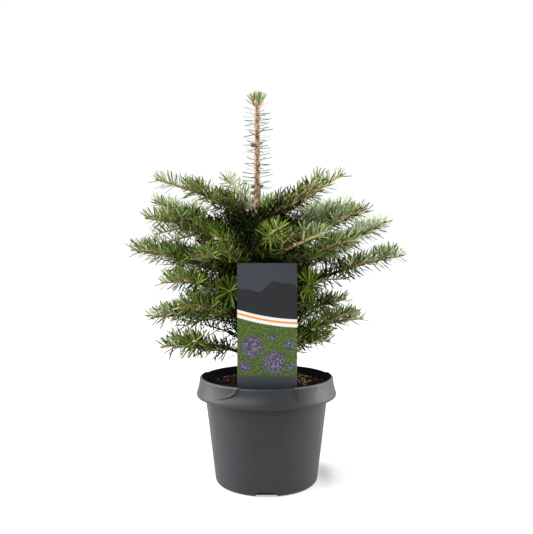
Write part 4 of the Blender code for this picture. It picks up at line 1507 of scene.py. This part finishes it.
def pot_profile():
    """Lip, band, flared skirt, wall, rounded foot and floor, down the outside and up the inside."""
    lip = (POT_BAND_RADIUS - LIP_ROUND, POT_HEIGHT - LIP_ROUND)
    profile = arc(lip, LIP_ROUND, 90, 0, 6)
    flare = POT_SKIRT_RADIUS - POT_BAND_RADIUS
    top = POT_HEIGHT - LIP_ROUND
    for share in np.linspace(0.05, 1.0, 18).tolist():
        drop = (top - POT_SKIRT_WIDEST) * share
        profile.append((POT_BAND_RADIUS + flare * share ** 1.5, top - drop))
    edge = (POT_SKIRT_RADIUS - SKIRT_ROUND, POT_SKIRT_BOTTOM + SKIRT_ROUND)
    profile += arc(edge, SKIRT_ROUND, 0, -90, 4)
    profile += [(POT_SKIRT_RADIUS - POT_WALL - 0.0006, POT_SKIRT_BOTTOM + 0.0004)]
    profile += [(POT_BAND_RADIUS - POT_WALL / 2, POT_BAND_BOTTOM)]
    under = POT_HEIGHT - 0.0081
    profile += [(wall_radius(under) + 0.001, under)]
    for height in np.linspace(POT_BAND_BOTTOM, 2.5 * POT_CORNER, 16).tolist():
        profile.append((wall_radius(height), height))
    profile += arc((wall_radius(POT_CORNER) - POT_CORNER, POT_CORNER), POT_CORNER, 0, -90, 6)
    profile += [(0.5 * POT_BASE_RADIUS, 0.0), (0.0, 0.0), (0.0, POT_FLOOR)]
    inside = wall_radius(POT_FLOOR) - POT_WALL - POT_CORNER
    profile += arc((inside, POT_FLOOR + POT_CORNER), POT_CORNER, -90, 0, 4)
    for height in np.linspace(0.03, POT_SKIRT_BOTTOM, 6).tolist():
        profile.append((wall_radius(height) - POT_WALL, height))
    profile += arc(lip, LIP_ROUND, 180, 96, 6)
    return profile


def lip_shift(angle, radius, height):
    """How far the lip and band stand back: a shallow bay at the front with a bead along its left
    edge, and along the back."""
    if height <= POT_SKIRT_BOTTOM or radius <= wall_radius(POT_SKIRT_BOTTOM) + OUTER_ROOM:
        return 0.0
    drop = POT_HEIGHT - height
    fade = 1.0 - ease(drop, *BAY_FADE)
    left_edge = BAY_LEFT - BAY_SWEEP * (drop / BAY_SWEEP_DROP) ** BAY_SWEEP_POWER
    front = ease(angle, left_edge - BAY_EDGE, left_edge + BAY_EDGE)
    front *= 1.0 - ease(angle, BAY_RIGHT, BAY_RIGHT + BAY_RIGHT_EDGE)
    back = ease(abs(angle), BACK_FROM, BACK_FROM + BACK_EDGE)
    bead = BEAD_HEIGHT * math.exp(-((angle - left_edge + BAY_EDGE) / BEAD_WIDTH) ** 2)
    return fade * (BAY_DEPTH * front + BACK_DEPTH * back - bead)


def make_cutter(name, build):
    """A shape to cut away, whose mesh a bmesh function makes."""
    bm = bmesh.new()
    build(bm)
    return shaped(name, bm)


def cut_away(made, cutters):
    """Cut shapes out of an object, and remove the cutters."""
    for cutter in cutters:
        step = made.modifiers.new(cutter.name, "BOOLEAN")
        step.operation = "DIFFERENCE"
        step.object = cutter
        step.solver = "EXACT"
    bpy.context.view_layer.update()
    graph = bpy.context.evaluated_depsgraph_get()
    mesh = bpy.data.meshes.new_from_object(made.evaluated_get(graph))
    made.modifiers.clear()
    made.data = mesh
    for cutter in cutters:
        bpy.data.objects.remove(cutter)


def plastic_finish():
    """Satin dark grey plastic, finely grained, with a little dust and scuffs, a painted highlight
    along the top of the lip and a painted shadow just below the front of the skirt."""
    base = tuple(settings().pot.plastic)
    weave = Weave("Pot plastic", base, 0.52, 0.28)
    dust_and_highlight = weave.shades(weave.noise(16.0, 5.0, 0.55), base, (0.30, 0.82), (0.72, 1.28))
    depth, height = weave.axes()[1:]
    # Painted shadow: darker on the wall just below the front of the skirt.
    below = weave.times(
        weave.spread(height, POT_SKIRT_BOTTOM - 0.013, POT_SKIRT_BOTTOM - 0.002),
        weave.spread(height, POT_SKIRT_BOTTOM - 0.0004, POT_SKIRT_BOTTOM, 1.0, 0.0))
    ahead = weave.spread(depth, -0.0790, -0.0560, 1.0, 0.0)
    shadow = weave.times(weave.times(below, ahead), 0.62)
    # Painted highlight: paler along the top of the lip.
    painted_lip_highlight = weave.spread(height, POT_HEIGHT - 0.0020, POT_HEIGHT - 0.0008, 0.0, 0.65)
    dust_and_highlight = weave.mix(painted_lip_highlight, dust_and_highlight, shaded(base, 5.0))
    weave.colour(weave.mix(shadow, dust_and_highlight, shaded(base, 0.18)))
    scuffs = weave.noise(70.0, 6.0, 0.7, weave.stretched((1.0, 1.0, 0.25)))
    weave.roughness(weave.spread(scuffs, 0.30, 0.75, 0.46, 0.60))
    weave.bump(weave.noise(900.0, 2.0, 0.5), 0.00010)
    return weave.material


def notch(bm):
    """A prism through the foot of the pot's wall."""
    wide, narrow = NOTCH_FOOT_WIDTH / 2, NOTCH_TOP_WIDTH / 2
    outline = (
        (-wide, -NOTCH_HEIGHT), (wide, -NOTCH_HEIGHT), (wide, 0.0),
        (narrow, NOTCH_HEIGHT), (-narrow, NOTCH_HEIGHT), (-wide, 0.0))
    extrude(bm, [(0.0, across, height) for across, height in outline], (2.0 * NOTCH_DEPTH, 0.0, 0.0))


def drain(bm):
    """A cylinder through the pot's floor."""
    bmesh.ops.create_cone(
        bm, cap_ends=True, segments=32, radius1=DRAIN_RADIUS, radius2=DRAIN_RADIUS,
        depth=3.0 * POT_FLOOR)


def extrude(bm, outline, way):
    """A prism from an outline of points, along a way."""
    face = bm.faces.new([bm.verts.new(point) for point in outline])
    grown = bmesh.ops.extrude_face_region(bm, geom=[face])
    moved = [item for item in grown["geom"] if isinstance(item, bmesh.types.BMVert)]
    bmesh.ops.translate(bm, verts=moved, vec=way)


class FIR_OT_pot(bpy.types.Operator):
    """The nursery pot, with its rolled lip, skirt, drainage notches and holes"""

    bl_idname = "fir.pot"
    bl_label = "Pot"

    def execute(self, context):
        profile = pot_profile()
        each = len(profile)
        bm = bmesh.new()
        rows = []
        for index in range(POT_SIDES):
            angle = 2.0 * math.pi * index / POT_SIDES
            from_front = (angle + 0.5 * math.pi + math.pi) % (2.0 * math.pi) - math.pi
            row = []
            for radius, height in profile:
                shift = lip_shift(from_front, radius, height)
                lower = RIM_DIP * shift if height > POT_HEIGHT - LIP_ROUND else 0.0
                wide = radius - shift
                row.append(bm.verts.new((wide * math.cos(angle), wide * math.sin(angle), height - lower)))
            rows.append(row)
        for here, there in zip(rows, rows[1:] + rows[:1]):
            for index in range(each):
                below = (index + 1) % each
                face = bm.faces.new((here[index], here[below], there[below], there[index]))
                # Painted shade: the inside rows, the inner wall and the inner half of the lip, take the
                # near-black plastic.
                face.material_index = int(index >= each - INSIDE_ROWS)
        bmesh.ops.remove_doubles(bm, verts=bm.verts, dist=MERGED)
        # Painted shade: a near-black copy of the plastic for the inside of the pot.
        dark = plain("Pot inside", shaded(tuple(settings().pot.plastic), 0.16), 0.9, 0.03)
        made = shaped("nursery_pot", bm, plastic_finish(), dark)
        cutters = []
        for index in range(NOTCH_COUNT):
            cutter = make_cutter(f"notch_{index}", notch)
            turn = Matrix.Rotation(2.0 * math.pi * index / NOTCH_COUNT - 0.5 * math.pi, 4, "Z")
            cutter.matrix_world = turn @ Matrix.Translation((POT_BASE_RADIUS - NOTCH_DEPTH, 0.0, 0.0))
            cutters.append(cutter)
        for index in range(DRAIN_COUNT):
            cutter = make_cutter(f"drain_{index}", drain)
            angle = 2.0 * math.pi * (index + 0.5) / DRAIN_COUNT
            cutter.location = (DRAIN_CIRCLE * math.cos(angle), DRAIN_CIRCLE * math.sin(angle), 0.0)
            cutters.append(cutter)
        cut_away(made, cutters)
        made.data.shade_smooth()
        made.data.set_sharp_from_angle(angle=POT_SHARP)
        dress(made, "pot_plastic", "pot")
        return {"FINISHED"}


def peat_finish():
    """Dark moist peat with lighter fibres."""
    base = tuple(settings().pot.peat)
    weave = Weave("Peat", base, 0.95, 0.05)
    clods = weave.noise(260.0, 8.0, 0.7)
    weave.colour(weave.shades(clods, base, (0.34, 0.22), (0.55, 1.0), (0.74, 3.6)))
    weave.bump(weave.noise(520.0, 8.0, 0.75), 0.0022)
    return weave.material


def soil_height(x, y):
    """Height of the peat's uneven top."""
    crown = SOIL_CROWN * math.exp(-(x * x + y * y) / SOIL_CROWN_AREA)
    lumps = SOIL_LUMPS * noise.fractal(Vector((x, y, 0.0)) * SOIL_GRAIN, *SOIL_FRACTAL)
    return SOIL_TOP + crown + lumps


class FIR_OT_soil(bpy.types.Operator):
    """The peat in the pot, with crumbs, bark chips and straw on it"""

    bl_idname = "fir.soil"
    bl_label = "Soil"

    def execute(self, context):
        edge = wall_radius(SOIL_TOP) - POT_WALL - 0.0010
        turns = [2.0 * math.pi * column / SOIL_SIDES for column in range(SOIL_SIDES)]
        bm = bmesh.new()
        middle = bm.verts.new((0.0, 0.0, SOIL_TOP + SOIL_CROWN))
        rows = []
        for ring in range(1, SOIL_RINGS + 1):
            radius = edge * ring / SOIL_RINGS
            spots = [(radius * math.cos(turn), radius * math.sin(turn)) for turn in turns]
            rows.append([bm.verts.new((x, y, soil_height(x, y))) for x, y in spots])
        foot = POT_FLOOR + CLEAR
        radius = wall_radius(foot) - POT_WALL - POT_CORNER
        spots = [(radius * math.cos(turn), radius * math.sin(turn), foot) for turn in turns]
        rows.append([bm.verts.new(spot) for spot in spots])
        for column in range(SOIL_SIDES):
            after = (column + 1) % SOIL_SIDES
            bm.faces.new((middle, rows[0][column], rows[0][after]))
            for inner, outer in zip(rows, rows[1:]):
                bm.faces.new((inner[column], outer[column], outer[after], inner[after]))
        bm.faces.new(rows[-1][::-1])
        made = shaped("peat_surface", bm, peat_finish())
        made.data.shade_smooth()
        dress(made, "peat", "soil")
        self.scatter(edge)
        return {"FINISHED"}

    def scatter(self, edge):
        """Crumbs of peat and bark chips, and dry straw to the right of the label."""
        base = tuple(settings().pot.peat)
        finishes = [
            plain("Peat crumb", shaded(base, 0.6), 0.95, 0.03),
            plain("Peat crumb brown", shaded(base, 2.4), 0.95, 0.03),
            plain("Bark chip", (0.062, 0.030, 0.018), 0.85, 0.1),
            plain("Straw", (0.200, 0.135, 0.066), 0.7, 0.2),
            plain("Grit", (0.110, 0.085, 0.065), 0.8, 0.1),
        ]
        rng = np.random.default_rng(SEED)
        gather = Gather()
        for _ in range(CRUMBS):
            radius = edge * math.sqrt(rng.uniform(0.0, 0.96))
            angle = rng.uniform(0.0, 2.0 * math.pi)
            x, y = radius * math.cos(angle), radius * math.sin(angle)
            size = CRUMB_SIZE[0] + CRUMB_SIZE[1] * rng.random() ** 2
            aim = unit(rng.normal(size=3) * (1.0, 1.0, 0.5))
            start = np.array((x, y, soil_height(x, y) + 0.3 * size)) - aim * size
            line = start + np.outer(CRUMB_STATIONS, aim) * (2.0 * size)
            uneven = rng.uniform(0.45, 1.0, (len(CRUMB_SWELL), TWIG_SIDES))
            swell = np.array(CRUMB_SWELL)[:, None] * uneven * size
            gather.add(*tube(line, swell, TWIG_SIDES), int(rng.choice(len(finishes), p=CRUMB_SHARES)))
        for index in range(STRAWS):
            across, depth = RIGHT_STRAWS_AREA if index < RIGHT_STRAWS else STRAWS_AREA
            x, y = rng.uniform(*across), rng.uniform(*depth)
            if math.hypot(x, y) > edge - 0.008:
                continue
            turn = rng.uniform(0.0, math.pi)
            aim = unit(np.array((math.cos(turn), math.sin(turn), rng.uniform(-0.15, 0.35))))
            length = rng.uniform(*STRAW_LENGTH)
            shares = np.linspace(-0.5, 0.5, 5)
            line = np.array((x, y, soil_height(x, y) + 0.0012)) + np.outer(shares, aim) * length
            line[:, 2] += STRAW_BOW * (0.25 - shares ** 2)
            radii = np.full(len(shares), rng.uniform(*STRAW_RADIUS))
            gather.add(*tube(line, radii, STRAW_SIDES), STRAW_SLOT)
        dress(gather.piece("peat_crumbs", finishes, smooth=False), "peat")


def card_finish():
    """A printed card: slate hills over a pale arc with a stripe, and a green field with violet blooms."""
    pot = settings().pot
    slate, mist, stripe = tuple(pot.slate), tuple(pot.mist), tuple(pot.stripe)
    meadow, violet = tuple(pot.meadow), tuple(pot.violet)
    white = (0.62, 0.62, 0.61)
    weave = Weave("Label card", mist, 0.38, 0.2)
    x, z = weave.axes()[::2]
    swell = weave.times(weave.math("SINE", weave.times(x, 92.0)), 0.0065)
    ripple = weave.times(weave.math("SINE", weave.times(x, 231.0)), 0.0022)
    above_hills = weave.minus(weave.minus(z, weave.plus(swell, ripple)), HILL_HEIGHT)
    top = weave.mix(weave.spread(above_hills, -0.0012, 0.0012), slate, mist)
    from_middle = weave.minus(x, ARC_MIDDLE)
    bend = weave.times(weave.times(from_middle, from_middle), ARC_BEND)
    above_arc = weave.minus(weave.minus(z, bend), ARC_HEIGHT)
    speck = weave.noise(420.0, 4.0, 0.7)
    field = weave.shades(speck, meadow, (0.32, 0.22), (0.52, 1.0), (0.68, 2.3))
    discs = None
    for middle_x, middle_z, radius in LABEL_DISCS:
        off_x, off_z = weave.minus(x, middle_x), weave.minus(z, middle_z)
        square = weave.plus(weave.times(off_x, off_x), weave.times(off_z, off_z))
        away = weave.math("DIVIDE", weave.math("SQRT", square), radius)
        discs = away if discs is None else weave.math("MINIMUM", discs, away)
    edge = weave.plus(discs, weave.times(weave.noise(300.0, 3.0, 0.6), 0.22))
    bloom = weave.shades(weave.cells(420.0), violet, (0.10, 2.4), (0.34, 1.0), (0.62, 0.35))
    bloom = weave.mix(weave.spread(discs, 0.35, 1.0, 0.0, 0.6), bloom, shaded(violet, 0.45))
    field = weave.mix(weave.spread(edge, 1.04, 1.12, 1.0, 0.0), field, bloom)
    face = weave.mix(weave.spread(z, 0.158, 0.150), field, mist)
    for height, tone in ((0.0, white), (0.0040, stripe), (0.0065, white), (0.0100, top)):
        face = weave.mix(weave.spread(above_arc, height - PRINT_EDGE, height + PRINT_EDGE), face, tone)
    weave.colour(face)
    weave.roughness(weave.spread(weave.noise(60.0, 4.0, 0.6), 0.3, 0.7, 0.34, 0.46))
    return weave.material


class FIR_OT_label(bpy.types.Operator):
    """The plant label, a thin upright card with rounded corners"""

    bl_idname = "fir.label"
    bl_label = "Label"

    def execute(self, context):
        low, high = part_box("label")
        half = (high.x - low.x) / 2 - LABEL_CORNER
        middle = (high.x + low.x) / 2
        outline = []
        for side_x, side_z, start in ((1, 1, 0), (-1, 1, 90), (-1, -1, 180), (1, -1, 270)):
            centre_z = high.z - LABEL_CORNER if side_z > 0 else low.z + LABEL_CORNER
            centre = (middle + side_x * half, centre_z)
            outline += arc(centre, LABEL_CORNER, start, start + 90, LABEL_CORNER_STEPS)
        bm = bmesh.new()
        extrude(bm, [(x, low.y, z) for x, z in outline], (0.0, high.y - low.y, 0.0))
        dress(shaped("plant_label", bm, card_finish()), "label_card", "label")
        return {"FINISHED"}


def soft_box(name, place, size, power):
    """A rectangular soft light that points at the middle of the plant."""
    light = bpy.data.lights.new(name, "AREA")
    light.shape = "RECTANGLE"
    light.size, light.size_y = size
    light.energy = power
    made = placed(name, light)
    made.location = place
    made.rotation_euler = (Vector(LIGHT_TARGET) - Vector(place)).to_track_quat("-Z", "Y").to_euler()


def floor_finish(look):
    """A pale floor that glows, a little less in a soft patch beside the pot's foot, a painted shadow."""
    weave = Weave("Pale floor", tuple(look.floor), 0.9, 0.0)
    weave.shader.inputs["Emission Color"].default_value = (1.0, 1.0, 1.0, 1.0)
    x, y = weave.axes()[:2]
    # Painted shadow: the glow dips in a soft patch to the right of the pot's foot.
    off_x = weave.math("DIVIDE", weave.minus(x, FOOT_SHADE_X), FOOT_SHADE_WIDTH)
    off_y = weave.math("DIVIDE", weave.minus(y, FOOT_SHADE_Y), FOOT_SHADE_DEPTH)
    away = weave.plus(weave.times(off_x, off_x), weave.times(off_y, off_y))
    painted_shadow = weave.math("EXPONENT", weave.times(away, -1.0))
    glow = weave.minus(look.glow, weave.times(painted_shadow, FOOT_SHADE))
    weave.link(glow, weave.shader.inputs["Emission Strength"])
    return weave.material


def white_surround(strength):
    """A world that is white round the plant and below it, and grey overhead."""
    world = bpy.data.worlds.new("White surround")
    world.use_nodes = True
    tree = world.node_tree
    back = tree.nodes["Background"]
    back.inputs["Strength"].default_value = strength
    place = tree.nodes.new("ShaderNodeTexCoord")
    split = tree.nodes.new("ShaderNodeSeparateXYZ")
    fade = tree.nodes.new("ShaderNodeValToRGB")
    for stop, (where, level) in zip(fade.color_ramp.elements, ((0.50, 1.0), (0.85, 0.30))):
        stop.position = where
        stop.color = (level, level, level, 1.0)
    tree.links.new(place.outputs["Generated"], split.inputs["Vector"])
    tree.links.new(split.outputs["Z"], fade.inputs["Fac"])
    tree.links.new(fade.outputs["Color"], back.inputs["Color"])
    return world


class FIR_OT_stage(bpy.types.Operator):
    """The white floor with its painted soft shadow, the surround, the soft light and the camera"""

    bl_idname = "fir.stage"
    bl_label = "Stage"

    def execute(self, context):
        look = settings().stage
        scene = context.scene
        bpy.ops.mesh.primitive_plane_add(size=FLOOR_SIZE)
        floor = context.object
        floor.name = "floor"
        floor.data.materials.append(floor_finish(look))
        scene.world = white_surround(look.surround)
        sun = bpy.data.lights.new("key_light", "SUN")
        sun.energy = look.sun
        sun.angle = SUN_WIDTH
        key = placed("key_light", sun)
        key.rotation_euler = Vector(SUN_AIM).to_track_quat("-Z", "Y").to_euler()
        soft_box("left_light", (-1.25, 0.10, 0.60), (0.5, 1.1), look.sides)
        soft_box("right_light", (1.25, 0.20, 0.50), (0.5, 1.1), look.sides)
        lens = bpy.data.cameras.new("camera")
        lens.lens = CAMERA_LENS
        lens.sensor_width = SENSOR_WIDTH
        camera = placed("camera", lens)
        camera.location = CAMERA_PLACE
        camera.rotation_euler = (CAMERA_PITCH, 0.0, 0.0)
        scene.camera = camera
        scene.view_settings.view_transform = "Standard"
        return {"FINISHED"}


PIECES = (
    FIR_OT_pot, FIR_OT_soil, FIR_OT_label, FIR_OT_trunk, FIR_OT_boughs,
    FIR_OT_twigs, FIR_OT_needles, FIR_OT_buds, FIR_OT_leader, FIR_OT_stage,
)


class FIR_PT_panel(bpy.types.Panel):
    """Lists the sizes, the colours and the pieces"""

    bl_idname = "FIR_PT_panel"
    bl_label = "Korean fir"
    bl_space_type = "VIEW_3D"
    bl_region_type = "UI"
    bl_category = "Korean fir"

    def draw(self, context):
        look = settings()
        for title in look.__annotations__:
            group = getattr(look, title)
            box = self.layout.box()
            box.label(text=title.title())
            for name in group.__annotations__:
                box.prop(group, name)
        for piece in PIECES:
            self.layout.operator(piece.bl_idname)


CLASSES = (FirNeedles, FirWood, FirPot, FirStage, FirSettings, *PIECES, FIR_PT_panel)


def register():
    """Make the settings, operators and panel known to Blender."""
    for item in CLASSES:
        bpy.utils.register_class(item)
    setattr(bpy.types.Scene, TREE_SETTINGS, PointerProperty(type=FirSettings))


def unregister():
    """Take them away again."""
    delattr(bpy.types.Scene, TREE_SETTINGS)
    for item in reversed(CLASSES):
        bpy.utils.unregister_class(item)


def main():
    """Make every piece in order."""
    register()
    bpy.ops.fir.pot()
    bpy.ops.fir.soil()
    bpy.ops.fir.label()
    bpy.ops.fir.trunk()
    bpy.ops.fir.boughs()
    bpy.ops.fir.twigs()
    bpy.ops.fir.needles()
    bpy.ops.fir.buds()
    bpy.ops.fir.leader()
    bpy.ops.fir.stage()


if __name__ == "__main__":
    main()
